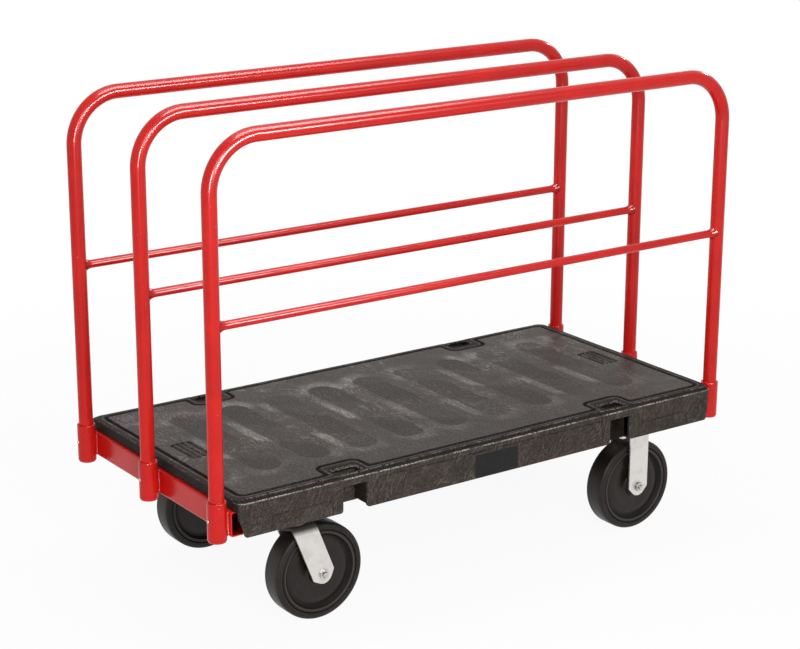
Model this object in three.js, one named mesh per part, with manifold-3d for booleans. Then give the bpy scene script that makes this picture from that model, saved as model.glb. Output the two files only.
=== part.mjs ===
// Sheet panel cart: a moulded platform on four wheels, with three upright tube hoops for sheets and panels.
// Millimetres, +Z up, +X along the platform. The origin is on the floor under the middle of the platform.
// The left end (-X) has the swivel casters. The front long side is -Y.
import * as THREE from "three";
import { mergeVertices } from "three/addons/utils/BufferGeometryUtils.js";
import Module from "manifold-3d";

// Clearances and working values
const contactGap = 0.3;
const runningGap = 0.3;
const cutOverrun = 6;
const weldDistance = 0.001;

// Platform
const deckLength = 1219.2;
const deckWidth = 609.6;
const deckDepth = 76.2;
const deckCorner = 18;
const topWall = 9;
const skirtWall = 9;
const ledgeWidth = 10.8;
const ledgeDrop = 5.6;
const rimCorner = 20;
const grooveEndInset = 18.9;
const grooveSideInset = 25.8;
const grooveWidth = 8;
const grooveDepth = 4.5;
const panelCorner = 12;
const slotFromCaster = 102;
const slotLength = 58;
const slotWidth = 31;
const slotEdgeInset = 16.8;
const jogLength = 96;
const jogReach = 48;
const jogFoot = 12;
const jogCorner = 25;
const pocketWall = 6;
const notchDrop = 22;
const ribWall = 6;
const ribPitchAlong = 115;
const ribPitchAcross = 118;
const bossWidth = 24;
const lipHeight = 24;
const endRecess = 25;
const skirtSlant = 12.6;
const skirtSlantDrop = 28;
const skirtFootRound = 8;

// Label plate on the front skirt
const labelLength = 110;
const labelHeight = 49;
const labelThickness = 1.2;
const labelRecess = 1.5;
const labelOffset = 6.5;
const labelDrop = 25;

// Steel end frames under the platform
const beamHeight = 50.8;
const beamDepth = 30;
const beamWall = 3;
const beamEndGap = 8.8;
const beamStandout = 7.3;
const armThickness = 5;
const armSideInset = 4.3;
const armOverlap = 4;

// Sockets and set screws
const socketRadius = 19;
const socketHeight = 80.8;
const socketTopDrop = 3.2;
const socketFloor = 4;
const socketPlay = 0.6;
const setScrewDrop = 40;
const setScrewRadius = 2.4;
const setScrewHeadRadius = 3.6;
const setScrewHeadHeight = 2;

// Hoops and guard rails
const hoopSideInset = 36.3;
const hoopRise = 689.5;
const hoopBend = 102;
const hoopRadius = 15;
const hoopWall = 2;
const guardRise = 339;
const guardRadius = 8.5;
const guardWall = 2;

// Wheels
const wheelRadius = 101.6;
const wheelWidth = 50.8;
const treadShoulder = 9;
const treadThickness = 14.6;
const rimDepth = 12;
const dishDepth = 8;
const hubRadius = 24;
const hubStandout = 1.6;
const bushRadius = 9;
const axleRadius = 6;

// Casters
const casterSideInset = 83.8;
const casterEndInset = 164.6;
const casterTrail = 55;
const wheelToDeck = 38.1;
const plateLength = 152.4;
const plateWidth = 120.6;
const plateThickness = 5;
const plateCorner = 10;
const boltEndInset = 16.2;
const boltSideInset = 16.3;
const boltRadius = 4.8;
const boltHeadRadius = 8.2;
const boltHeadHeight = 6;
const boltReach = 28;
const forkWall = 5;
const forkInside = 61;
const crownWall = 6;
const wheelToCrown = 5;
const legWidth = 52;
const legTopLean = 10;
const legShoulder = 3;
const legEndRadius = 21;
const crownRadius = 38;
const raceRadius = 40;
const raceRound = 5;
const kingpinRadius = 8;
const kingpinNutRadius = 12;
const kingpinNutHeight = 8;
const axleHeadRadius = 10.4;
const axleHeadHeight = 7.5;
const axleThreadEnd = 3;

// Roundness of the faceted shapes
const tubeSides = 16;
const bendSteps = 6;
const wheelSides = 24;
const shaftSides = 12;
const smallSides = 8;
const hexSides = 6;
const cornerSteps = 2;

// Heights and places that follow from the sizes
const tyreBond = wheelRadius - treadThickness;
const deckBase = wheelRadius * 2 + wheelToDeck;
const deckTop = deckBase + deckDepth;
const deckEnd = deckLength / 2;
const deckSide = deckWidth / 2;
const hoopSpacing = deckSide - hoopSideInset;
const casterSide = deckSide - casterSideInset;
const casterReach = deckEnd - casterEndInset;
const slotCentre = casterReach - slotFromCaster;
const plateTop = deckBase - contactGap;
const plateBottom = plateTop - plateThickness;
const armBottom = deckBase;
const armTop = armBottom + armThickness;
const ribBase = armTop + contactGap;
const armWidth = plateWidth - armSideInset * 2;
const boltSpacingAlong = plateLength - boltEndInset * 2;
const boltSpacingAcross = plateWidth - boltSideInset * 2;
const boltTip = armTop + boltReach;
const boltHoleRadius = boltRadius + contactGap;
const beamTop = deckTop - lipHeight - contactGap;
const beamOuter = deckEnd + beamStandout;
const beamInner = beamOuter - beamDepth;
const armOuter = beamInner - contactGap;
const armInner = casterReach - plateLength / 2 - armOverlap;
const socketX = beamOuter + contactGap + socketRadius;
const socketTop = deckTop - socketTopDrop;
const socketBottom = socketTop - socketHeight;
const socketBore = hoopRadius + socketPlay;
const hoopFoot = socketBottom + socketFloor + contactGap;
const hoopTop = deckTop + hoopRise;
const guardHeight = deckTop + guardRise;
const crownTop = wheelRadius * 2 + wheelToCrown + crownWall;
const axleY = forkInside / 2 + forkWall;

const wasm = await Module();
wasm.setup();

// Solids and geometry

function solidOf(geometry) {
  const loose = geometry.index ? geometry.toNonIndexed() : geometry.clone();
  loose.deleteAttribute("normal");
  loose.deleteAttribute("uv");
  const merged = mergeVertices(loose, weldDistance);
  const vertProperties = merged.attributes.position.array;
  const triVerts = new Uint32Array(merged.index.array);
  return new wasm.Manifold(new wasm.Mesh({ numProp: 3, vertProperties, triVerts }));
}

function geometryOf(solid) {
  const mesh = solid.getMesh();
  const shared = new THREE.BufferGeometry();
  shared.setAttribute("position", new THREE.BufferAttribute(mesh.vertProperties, 3));
  shared.setIndex(new THREE.BufferAttribute(mesh.triVerts, 1));
  const faceted = shared.toNonIndexed();
  faceted.computeVertexNormals();
  return faceted;
}

function joined(solids) {
  return solids.reduce((whole, next) => whole.add(next));
}

function without(solid, cuts) {
  return cuts.reduce((rest, cut) => rest.subtract(cut), solid);
}

// A box between two corners.
function block(x0, x1, y0, y1, z0, z1) {
  const box = new THREE.BoxGeometry(x1 - x0, y1 - y0, z1 - z0);
  box.translate((x0 + x1) / 2, (y0 + y1) / 2, (z0 + z1) / 2);
  return solidOf(box);
}

// A plan outline raised from z0 to z1.
function prism(shape, z0, z1) {
  const options = { depth: z1 - z0, bevelEnabled: false, curveSegments: cornerSteps };
  return solidOf(new THREE.ExtrudeGeometry(shape, options).translate(0, 0, z0));
}

// A side outline, drawn with x and z, widened from y0 to y1.
function sidePrism(shape, y0, y1) {
  const options = { depth: y1 - y0, bevelEnabled: false, curveSegments: cornerSteps };
  const geometry = new THREE.ExtrudeGeometry(shape, options);
  return solidOf(geometry.rotateX(Math.PI / 2).translate(0, y1, 0));
}

// A profile of [radius, height] pairs turned about the Y axis, closed on itself or on the axis.
function turned(profile, sides, phase = 0) {
  const points = profile.map(([radius, height]) => new THREE.Vector2(radius, height));
  return solidOf(new THREE.LatheGeometry(points, sides, phase));
}

// The same profile standing on the Z axis.
function turnedUpright(profile, sides) {
  const points = profile.map(([radius, height]) => new THREE.Vector2(radius, height));
  return solidOf(new THREE.LatheGeometry(points, sides).rotateX(Math.PI / 2));
}

// A bar with flat ends along Z, between two heights.
function upright(radius, z0, z1, sides, x = 0, y = 0) {
  const bar = new THREE.CylinderGeometry(radius, radius, z1 - z0, sides);
  return solidOf(bar.rotateX(Math.PI / 2).translate(x, y, (z0 + z1) / 2));
}

// A bar with flat ends along Y.
function crossBar(radius, y0, y1, sides, x = 0, z = 0) {
  const bar = new THREE.CylinderGeometry(radius, radius, y1 - y0, sides);
  return solidOf(bar.translate(x, (y0 + y1) / 2, z));
}

// A bar with flat ends along X.
function longBar(radius, x0, x1, sides, y = 0, z = 0) {
  const bar = new THREE.CylinderGeometry(radius, radius, x1 - x0, sides);
  return solidOf(bar.rotateZ(Math.PI / 2).translate((x0 + x1) / 2, y, z));
}

// A rectangle about the origin with round corners.
function roundedRectangle(halfX, halfY, radius) {
  const shape = new THREE.Shape();
  const innerX = halfX - radius;
  const innerY = halfY - radius;
  shape.absarc(innerX, innerY, radius, 0, Math.PI / 2);
  shape.absarc(-innerX, innerY, radius, Math.PI / 2, Math.PI);
  shape.absarc(-innerX, -innerY, radius, Math.PI, Math.PI * 1.5);
  shape.absarc(innerX, -innerY, radius, Math.PI * 1.5, Math.PI * 2);
  shape.closePath();
  return shape;
}

// A path that steps through given stations, each a point with the direction there.
class StationPath extends THREE.Curve {
  constructor(stations) {
    super();
    this.stations = stations;
  }

  at(share) {
    return this.stations[Math.round(share * (this.stations.length - 1))];
  }

  getPoint(share) {
    return this.at(share).point.clone();
  }

  getPointAt(share) {
    return this.getPoint(share);
  }

  getTangentAt(share) {
    return this.at(share).direction.clone();
  }
}

// Materials, one for each mesh

function redPaint() {
  return new THREE.MeshStandardMaterial({ color: 0xc8372f, roughness: 0.32, metalness: 0.1 });
}

function deckPlastic() {
  return new THREE.MeshStandardMaterial({ color: 0x4a4441, roughness: 0.6, metalness: 0 });
}

function labelPlastic() {
  return new THREE.MeshStandardMaterial({ color: 0x1c1b1c, roughness: 0.35, metalness: 0 });
}

function brightZinc() {
  return new THREE.MeshStandardMaterial({ color: 0xd6d4ce, roughness: 0.35, metalness: 0.8 });
}

function boltSteel() {
  return new THREE.MeshStandardMaterial({ color: 0xb9babc, roughness: 0.28, metalness: 0.9 });
}

function tyreRubber() {
  return new THREE.MeshStandardMaterial({ color: 0x262423, roughness: 0.7, metalness: 0 });
}

function wheelPlastic() {
  return new THREE.MeshStandardMaterial({ color: 0x2f2a29, roughness: 0.45, metalness: 0 });
}

function named(name, solid, material) {
  const mesh = new THREE.Mesh(geometryOf(solid), material);
  mesh.name = name;
  return mesh;
}

// Platform

// The outline of the flat panel inside the groove, moved outwards by a distance.
// Its long edges step inwards round each slot, with a small foot curve and a larger corner curve.
function panelShape(outwards) {
  const halfX = deckEnd - grooveEndInset - grooveWidth / 2 + outwards;
  const halfY = deckSide - grooveSideInset - grooveWidth / 2 + outwards;
  const jogHalf = jogLength / 2 + grooveWidth / 2 - outwards;
  const corner = panelCorner + outwards;
  const foot = jogFoot + outwards;
  const bend = jogCorner - outwards;
  const shape = new THREE.Shape();
  [-1, 1].forEach((side) => {
    const edge = side * halfY;
    const inner = edge - side * jogReach;
    const point = (x, y) => [-side * x, y];
    [-slotCentre, slotCentre].forEach((centre) => {
      const near = centre - jogHalf;
      const far = centre + jogHalf;
      const step = [
        ["line", point(near - foot, edge)],
        ["curve", point(near, edge), point(near, edge - side * foot)],
        ["line", point(near, inner + side * bend)],
        ["curve", point(near, inner), point(near + bend, inner)],
        ["line", point(far - bend, inner)],
        ["curve", point(far, inner), point(far, inner + side * bend)],
        ["line", point(far, edge - side * foot)],
        ["curve", point(far, edge), point(far + foot, edge)],
      ];
      if (side === -1 && centre < 0) shape.moveTo(...step.shift()[1]);
      step.forEach(([kind, first, second]) => {
        if (kind === "line") shape.lineTo(...first);
        else shape.quadraticCurveTo(...first, ...second);
      });
    });
    const turn = side === -1 ? -Math.PI / 2 : Math.PI / 2;
    const cornerX = -side * (halfX - corner);
    shape.absarc(cornerX, side * (halfY - corner), corner, turn, turn + Math.PI / 2);
    shape.absarc(cornerX, -side * (halfY - corner), corner, turn + Math.PI / 2, turn + Math.PI);
  });
  shape.closePath();
  return shape;
}

function grooveCut() {
  const ring = panelShape(grooveWidth);
  ring.holes.push(panelShape(0));
  return prism(ring, deckTop - grooveDepth, deckTop + cutOverrun);
}

// What lies outside the raised rim and above the ledge along the long sides.
function ledgeCut() {
  const level = deckTop - ledgeDrop;
  const halfX = deckEnd + cutOverrun;
  const halfY = deckSide + cutOverrun;
  const above = block(-halfX, halfX, -halfY, halfY, level, deckTop + cutOverrun);
  const rim = roundedRectangle(deckEnd, deckSide - ledgeWidth, rimCorner);
  return above.subtract(prism(rim, level - cutOverrun, deckTop + cutOverrun * 2));
}

// What lies past the slanted ends of the skirts.
function skirtEndCut(end) {
  const shape = new THREE.Shape();
  const slantTop = deckTop - skirtSlantDrop;
  const foot = deckEnd - skirtSlant;
  shape.moveTo(end * (deckEnd + cutOverrun), slantTop);
  shape.lineTo(end * deckEnd, slantTop);
  shape.lineTo(end * foot, deckBase + skirtFootRound);
  shape.quadraticCurveTo(end * foot, deckBase, end * (foot - skirtFootRound), deckBase);
  shape.lineTo(end * (foot - skirtFootRound), deckBase - cutOverrun);
  shape.lineTo(end * (deckEnd + cutOverrun), deckBase - cutOverrun);
  shape.closePath();
  return sidePrism(shape, -deckSide - cutOverrun, deckSide + cutOverrun);
}

// The recess at an end that takes the steel beam, and the hollow of the lip above it.
function endRecessCuts(end) {
  const inside = deckSide - skirtWall;
  const [recessInner, recessOuter] = [deckEnd - endRecess, deckEnd + cutOverrun];
  const hollowOuter = deckEnd - skirtWall;
  const span = (near, far) => (end > 0 ? [near, far] : [-far, -near]);
  return [
    block(...span(recessInner, recessOuter), -inside, inside, deckBase - cutOverrun, deckTop - lipHeight),
    block(...span(recessInner, hollowOuter), -inside, inside, deckBase, deckTop - topWall),
  ];
}

// Ribs under the top wall, standing clear above the steel arms.
function deckRibs() {
  const halfX = deckEnd - endRecess - skirtWall / 2;
  const halfY = deckSide - skirtWall / 2;
  const ribTop = deckTop - topWall / 2;
  const across = Math.floor(halfX / ribPitchAlong - 0.5);
  const along = Math.floor(halfY / ribPitchAcross - 0.5);
  const ribs = [];
  for (let i = -across - 1; i <= across; i += 1) {
    const x = (i + 0.5) * ribPitchAlong;
    ribs.push(block(x - ribWall / 2, x + ribWall / 2, -halfY, halfY, ribBase, ribTop));
  }
  for (let i = -along - 1; i <= along; i += 1) {
    const y = (i + 0.5) * ribPitchAcross;
    ribs.push(block(-halfX, halfX, y - ribWall / 2, y + ribWall / 2, ribBase, ribTop));
  }
  return ribs;
}

// Each corner of the cart as its signs along X and Y.
const corners = [
  [-1, -1],
  [-1, 1],
  [1, -1],
  [1, 1],
];

// The places of one caster's four mounting bolts.
function boltPlaces(centreX, centreY) {
  return corners.map(([along, across]) => [
    centreX + (along * boltSpacingAlong) / 2,
    centreY + (across * boltSpacingAcross) / 2,
  ]);
}

const everyBolt = corners.flatMap(([end, side]) =>
  boltPlaces(end * casterReach, side * casterSide),
);

// A side of the deck as the low and high y of a stretch that is measured inwards from the edge.
function fromSide(side, outerInset, innerInset) {
  const [near, far] = [deckSide - outerInset, deckSide - innerInset];
  return side > 0 ? [far, near] : [-near, -far];
}

function slotWalls([end, side]) {
  const half = slotLength / 2 + pocketWall;
  const ys = fromSide(side, skirtWall / 2, slotEdgeInset + slotWidth + pocketWall);
  return block(end * slotCentre - half, end * slotCentre + half, ...ys, ribBase, deckTop - topWall / 2);
}

// The through slot, the pocket under it and the notch in the skirt below.
function slotCuts([end, side]) {
  const xs = [end * slotCentre - slotLength / 2, end * slotCentre + slotLength / 2];
  const inner = slotEdgeInset + slotWidth;
  const low = deckBase - cutOverrun;
  return [
    block(...xs, ...fromSide(side, slotEdgeInset, inner), low, deckTop + cutOverrun),
    block(...xs, ...fromSide(side, skirtWall, inner), low, deckTop - topWall),
    block(...xs, ...fromSide(side, -cutOverrun, inner), low, deckTop - notchDrop),
  ];
}

function deckSolid() {
  const outline = roundedRectangle(deckEnd, deckSide, deckCorner);
  const cavityX = deckEnd - endRecess - skirtWall;
  const cavityY = deckSide - skirtWall;
  const cavity = block(-cavityX, cavityX, -cavityY, cavityY, deckBase - cutOverrun, deckTop - topWall);
  const armSpace = block(-deckEnd, deckEnd, -cavityY, cavityY, deckBase - cutOverrun, ribBase);
  const shell = without(prism(outline, deckBase, deckTop), [
    cavity,
    armSpace,
    ledgeCut(),
    grooveCut(),
    ...endRecessCuts(-1),
    ...endRecessCuts(1),
    skirtEndCut(-1),
    skirtEndCut(1),
  ]);
  const half = bossWidth / 2;
  const bosses = everyBolt.map(([x, y]) =>
    block(x - half, x + half, y - half, y + half, ribBase, deckTop - topWall / 2),
  );
  const boltHoles = everyBolt.map(([x, y]) =>
    upright(boltHoleRadius, ribBase - cutOverrun, boltTip + contactGap, smallSides, x, y),
  );
  const labelTop = deckTop - labelDrop + contactGap;
  const labelHalf = labelLength / 2 + contactGap;
  const labelBottom = labelTop - labelHeight - contactGap * 2;
  const labelXs = [labelOffset - labelHalf, labelOffset + labelHalf];
  const labelSeat = block(
    ...labelXs, -deckSide - cutOverrun, -deckSide + labelRecess, labelBottom, labelTop,
  );
  const stiffened = joined([shell, ...deckRibs(), ...bosses, ...corners.map(slotWalls)]);
  return without(stiffened, [...corners.flatMap(slotCuts), ...boltHoles, labelSeat]);
}

function labelSolid() {
  const back = -deckSide + labelRecess - contactGap;
  const top = deckTop - labelDrop;
  const half = labelLength / 2;
  const xs = [labelOffset - half, labelOffset + half];
  return block(...xs, back - labelThickness, back, top - labelHeight, top);
}

// Steel end frames

function beamSolid(end) {
  const xs = end > 0 ? [beamInner, beamOuter] : [-beamOuter, -beamInner];
  const half = deckSide - skirtWall - beamEndGap;
  const bottom = beamTop - beamHeight;
  const outside = block(...xs, -half, half, bottom, beamTop);
  const hollow = block(
    xs[0] + beamWall, xs[1] - beamWall,
    -half - cutOverrun, half + cutOverrun,
    bottom + beamWall, beamTop - beamWall,
  );
  return outside.subtract(hollow);
}

function armSolid(end, side) {
  const xs = end > 0 ? [armInner, armOuter] : [-armOuter, -armInner];
  const y = side * casterSide;
  const plate = block(...xs, y - armWidth / 2, y + armWidth / 2, armBottom, armTop);
  const holes = boltPlaces(end * casterReach, y).map(([boltX, boltY]) =>
    upright(boltHoleRadius, armBottom - cutOverrun, armTop + cutOverrun, smallSides, boltX, boltY),
  );
  return without(plate, holes);
}

// Sockets, set screws, hoops and guard rails

// A round cup at the origin of its own place, open at the top, with a screw hole towards its end of the cart.
function socketSolid(end) {
  const cup = turnedUpright(
    [
      [0, socketBottom],
      [socketRadius, socketBottom],
      [socketRadius, socketTop],
      [socketBore, socketTop],
      [socketBore, socketBottom + socketFloor],
      [0, socketBottom + socketFloor],
    ],
    tubeSides,
  );
  const reach = [0, end * (socketRadius + cutOverrun)].sort((a, b) => a - b);
  const hole = longBar(setScrewRadius + contactGap, ...reach, smallSides, 0, deckTop - setScrewDrop);
  return cup.subtract(hole);
}

function setScrewSolid(end) {
  const z = deckTop - setScrewDrop;
  const ordered = (inner, outer) => [end * inner, end * outer].sort((a, b) => a - b);
  const tip = hoopRadius + contactGap;
  const seat = socketRadius + contactGap;
  const shank = longBar(setScrewRadius, ...ordered(tip, seat + setScrewHeadHeight / 2), smallSides, 0, z);
  const head = longBar(setScrewHeadRadius, ...ordered(seat, seat + setScrewHeadHeight), smallSides, 0, z);
  return shank.add(head);
}

function ringShape(outerRadius, innerRadius) {
  const shape = new THREE.Shape();
  shape.absarc(0, 0, outerRadius, 0, Math.PI * 2);
  const hole = new THREE.Path();
  hole.absarc(0, 0, innerRadius, 0, Math.PI * 2);
  shape.holes.push(hole);
  return shape;
}

// Stations up one leg, round a bend, along the top, round the other bend and down the other leg.
function hoopStations() {
  const stations = [];
  const put = (x, z, dx, dz) => {
    stations.push({ point: new THREE.Vector3(x, 0, z), direction: new THREE.Vector3(dx, 0, dz) });
  };
  put(-socketX, hoopFoot, 0, 1);
  [-1, 1].forEach((end) => {
    for (let i = 0; i <= bendSteps; i += 1) {
      const swing = ((end < 0 ? i : bendSteps - i) / bendSteps) * (Math.PI / 2);
      const x = socketX - hoopBend + hoopBend * Math.cos(swing);
      const z = hoopTop - hoopBend + hoopBend * Math.sin(swing);
      put(end * x, z, Math.sin(swing), -end * Math.cos(swing));
    }
  });
  put(socketX, hoopFoot, 0, -1);
  return stations;
}

function hoopSolid() {
  const stations = hoopStations();
  const options = {
    steps: stations.length - 1,
    curveSegments: tubeSides / 2,
    extrudePath: new StationPath(stations),
  };
  const ring = ringShape(hoopRadius, hoopRadius - hoopWall);
  return solidOf(new THREE.ExtrudeGeometry(ring, options));
}

// A thin tube between the legs, hollowed at each end to sit against them.
function guardSolid() {
  const outside = longBar(guardRadius, -socketX, socketX, tubeSides, 0, guardHeight);
  const bore = guardRadius - guardWall;
  const inside = longBar(bore, -socketX - cutOverrun, socketX + cutOverrun, tubeSides, 0, guardHeight);
  const reach = guardRadius + cutOverrun;
  const legs = [-socketX, socketX].map((x) =>
    upright(hoopRadius + contactGap, guardHeight - reach, guardHeight + reach, tubeSides, x),
  );
  return without(outside, [inside, ...legs]);
}

// Wheels, turned about the Y axis with a flat of the tread at the bottom

const wheelPhase = Math.PI / wheelSides;
const roundFactor = 1 / Math.cos(wheelPhase);

function tyreSolid() {
  const half = wheelWidth / 2;
  const outer = wheelRadius * roundFactor;
  const inner = tyreBond * roundFactor;
  const soft = treadShoulder * (1 - Math.SQRT1_2);
  const profile = [
    [inner, -half],
    [outer - treadShoulder, -half],
    [outer - soft, -half + soft],
    [outer, -half + treadShoulder],
    [outer, half - treadShoulder],
    [outer - soft, half - soft],
    [outer - treadShoulder, half],
    [inner, half],
    [inner, -half],
  ];
  return turned(profile, wheelSides, wheelPhase);
}

function coreSolid() {
  const half = wheelWidth / 2;
  const hubHalf = half + hubStandout;
  const outer = tyreBond * roundFactor - contactGap;
  const rim = outer - rimDepth;
  const web = half - dishDepth;
  const bore = bushRadius + runningGap;
  const side = [
    [bore, hubHalf],
    [hubRadius, hubHalf],
    [hubRadius + dishDepth, web],
    [rim - dishDepth / 2, web],
    [rim, half - dishDepth / 4],
    [outer, half - dishDepth / 4],
  ];
  const mirrored = side.map(([radius, height]) => [radius, -height]);
  const profile = [...mirrored, ...side.reverse(), mirrored[0]];
  return turned(profile, wheelSides, wheelPhase);
}

function bushSolid() {
  const half = forkInside / 2 - contactGap;
  const bore = axleRadius + contactGap;
  const profile = [
    [bore, -half],
    [bushRadius, -half],
    [bushRadius, half],
    [bore, half],
    [bore, -half],
  ];
  return turned(profile, shaftSides);
}

// The bolt head is on the inner side of the cart and the nut on the outer side.
function axleSolid(side) {
  const seat = axleY + contactGap;
  const tip = seat + axleHeadHeight + axleThreadEnd;
  const ordered = (inner, outer) => [side * inner, side * outer].sort((a, b) => a - b);
  const shank = crossBar(axleRadius, ...ordered(-seat - axleHeadHeight / 2, tip), shaftSides);
  const head = crossBar(axleHeadRadius, ...ordered(-seat - axleHeadHeight, -seat), hexSides);
  return shank.add(head);
}

function nutSolid(side) {
  const seat = axleY + contactGap;
  const [low, high] = [side * seat, side * (seat + axleHeadHeight)].sort((a, b) => a - b);
  const body = crossBar(axleHeadRadius, low, high, hexSides);
  return body.subtract(crossBar(axleRadius + contactGap, low - cutOverrun, high + cutOverrun, shaftSides));
}

// Forks and caster plates, drawn about the kingpin or the middle of the plate

// A leg seen from the side: straight edges from the top, a shoulder just below the axle, and a round end.
function legShape(axleX, topX, top) {
  const axle = new THREE.Vector2(axleX, wheelRadius);
  const up = new THREE.Vector2(topX - axleX, top - wheelRadius);
  const length = up.length();
  up.normalize();
  const across = new THREE.Vector2(up.y, -up.x);
  const place = (w, s) => axle.clone().addScaledVector(across, w).addScaledVector(up, s);
  const half = legWidth / 2;
  const shoulder = Math.hypot(half, legShoulder);
  const tangent = Math.atan2(legShoulder, half) + Math.acos(legEndRadius / shoulder);
  const edge = (w) => place(w, length + (across.y / up.y) * -w);
  const points = [edge(half), edge(-half), place(-half, -legShoulder)];
  for (let i = 0; i <= bendSteps; i += 1) {
    const swing = Math.PI - tangent - (Math.PI - 2 * tangent) * (i / bendSteps);
    points.push(place(legEndRadius * Math.cos(swing), -legEndRadius * Math.sin(swing)));
  }
  points.push(place(half, -legShoulder));
  return new THREE.Shape(points);
}

function forkLegs(axleX, topX, top) {
  const shape = legShape(axleX, topX, top);
  return [-1, 1].map((side) => {
    const ys = [side * (forkInside / 2), side * axleY].sort((a, b) => a - b);
    return sidePrism(shape, ...ys);
  });
}

function axleHole(axleX) {
  const reach = axleY + cutOverrun;
  return crossBar(axleRadius + contactGap, -reach, reach, shaftSides, axleX, wheelRadius);
}

function swivelForkSolid() {
  const half = legWidth / 2;
  const crownBottom = crownTop - crownWall;
  const bridge = block(legTopLean - half, legTopLean + half, -axleY, axleY, crownBottom, crownTop);
  const disc = upright(crownRadius, crownBottom, crownTop, tubeSides);
  const pinHole = upright(
    kingpinRadius + runningGap, crownBottom - cutOverrun, crownTop + cutOverrun, shaftSides,
  );
  const whole = joined([bridge, disc, ...forkLegs(casterTrail, legTopLean, crownTop)]);
  return without(whole, [pinHole, axleHole(casterTrail)]);
}

function rigidForkSolid() {
  const half = legWidth / 2;
  const top = plateBottom - contactGap;
  const bridge = block(-half, half, -axleY, axleY, top - crownWall, top);
  return joined([bridge, ...forkLegs(0, 0, top)]).subtract(axleHole(0));
}

// The top plate with its four mounting bolts, which pass up through the arm into the deck's bosses.
function plateSolid(swivels) {
  const outline = roundedRectangle(plateLength / 2, plateWidth / 2, plateCorner);
  const bolts = boltPlaces(0, 0).flatMap(([x, y]) => [
    upright(boltRadius, plateBottom - boltHeadHeight / 2, boltTip, smallSides, x, y),
    upright(boltHeadRadius, plateBottom - boltHeadHeight, plateBottom + plateThickness / 2, hexSides, x, y),
  ]);
  const plate = joined([prism(outline, plateBottom, plateTop), ...bolts]);
  if (!swivels) return plate;
  const hole = upright(
    kingpinRadius + contactGap, plateBottom - cutOverrun, plateTop + cutOverrun, shaftSides,
  );
  return plate.subtract(hole);
}

// The closed ring of ball track between the top plate and the fork crown.
function raceSolid() {
  const low = crownTop + contactGap;
  const high = plateBottom - contactGap;
  const bore = kingpinRadius + contactGap;
  const profile = [
    [bore, low],
    [raceRadius - raceRound, low],
    [raceRadius, low + raceRound],
    [raceRadius, high - raceRound],
    [raceRadius - raceRound, high],
    [bore, high],
    [bore, low],
  ];
  return turnedUpright(profile, tubeSides);
}

function kingpinSolid() {
  const nutTop = crownTop - crownWall - contactGap;
  const pin = upright(kingpinRadius, nutTop - kingpinNutHeight / 2, plateTop, shaftSides);
  return pin.add(upright(kingpinNutRadius, nutTop - kingpinNutHeight, nutTop, hexSides));
}

function wheelParts(place, side, axleX) {
  const group = new THREE.Group();
  group.position.set(axleX, 0, wheelRadius);
  group.add(
    named(`tyre_${place}`, tyreSolid(), tyreRubber()),
    named(`wheel_core_${place}`, coreSolid(), wheelPlastic()),
    named(`hub_bush_${place}`, bushSolid(), boltSteel()),
    named(`axle_bolt_${place}`, axleSolid(side), boltSteel()),
    named(`axle_nut_${place}`, nutSolid(side), boltSteel()),
  );
  return group;
}

function swivelCaster(place, side) {
  const group = new THREE.Group();
  group.position.set(-casterReach, side * casterSide, 0);
  group.add(
    named(`caster_plate_${place}`, plateSolid(true), brightZinc()),
    named(`ball_race_${place}`, raceSolid(), brightZinc()),
    named(`kingpin_${place}`, kingpinSolid(), boltSteel()),
    named(`fork_${place}`, swivelForkSolid(), brightZinc()),
    wheelParts(place, side, casterTrail),
  );
  return group;
}

function rigidCaster(place, side) {
  const group = new THREE.Group();
  group.position.set(casterReach, side * casterSide, 0);
  group.add(
    named(`caster_plate_${place}`, plateSolid(false), brightZinc()),
    named(`fork_${place}`, rigidForkSolid(), brightZinc()),
    wheelParts(place, side, 0),
  );
  return group;
}

// Assembly

const sides = [
  ["front", -1],
  ["rear", 1],
];
const ends = [
  ["left", -1],
  ["right", 1],
];
const hoopRows = [
  ["front", -hoopSpacing],
  ["middle", 0],
  ["rear", hoopSpacing],
];

function platform() {
  const group = new THREE.Group();
  group.add(named("deck", deckSolid(), deckPlastic()));
  group.add(named("label_plate", labelSolid(), labelPlastic()));
  ends.forEach(([endName, end]) => {
    group.add(named(`end_beam_${endName}`, beamSolid(end), redPaint()));
    sides.forEach(([sideName, side]) => {
      group.add(named(`frame_arm_${sideName}_${endName}`, armSolid(end, side), redPaint()));
    });
  });
  return group;
}

// One hoop with its guard rail, its two sockets and their set screws.
function hoopRow([row, y]) {
  const group = new THREE.Group();
  group.position.set(0, y, 0);
  group.add(named(`hoop_${row}`, hoopSolid(), redPaint()));
  group.add(named(`guard_rail_${row}`, guardSolid(), redPaint()));
  ends.forEach(([endName, end]) => {
    const socket = named(`post_socket_${row}_${endName}`, socketSolid(end), redPaint());
    const screw = named(`set_screw_${row}_${endName}`, setScrewSolid(end), boltSteel());
    [socket, screw].forEach((piece) => {
      piece.position.set(end * socketX, 0, 0);
      group.add(piece);
    });
  });
  return group;
}

const cart = new THREE.Group();
cart.add(platform(), ...hoopRows.map(hoopRow));
sides.forEach(([sideName, side]) => {
  cart.add(swivelCaster(`${sideName}_left`, side), rigidCaster(`${sideName}_right`, side));
});

export default cart;
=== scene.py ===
"""Looks of the sheet panel cart: finished pieces, floor, lamps and camera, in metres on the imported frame."""

import logging
import math
from collections.abc import Sequence
from dataclasses import dataclass, field
from enum import Enum

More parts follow.
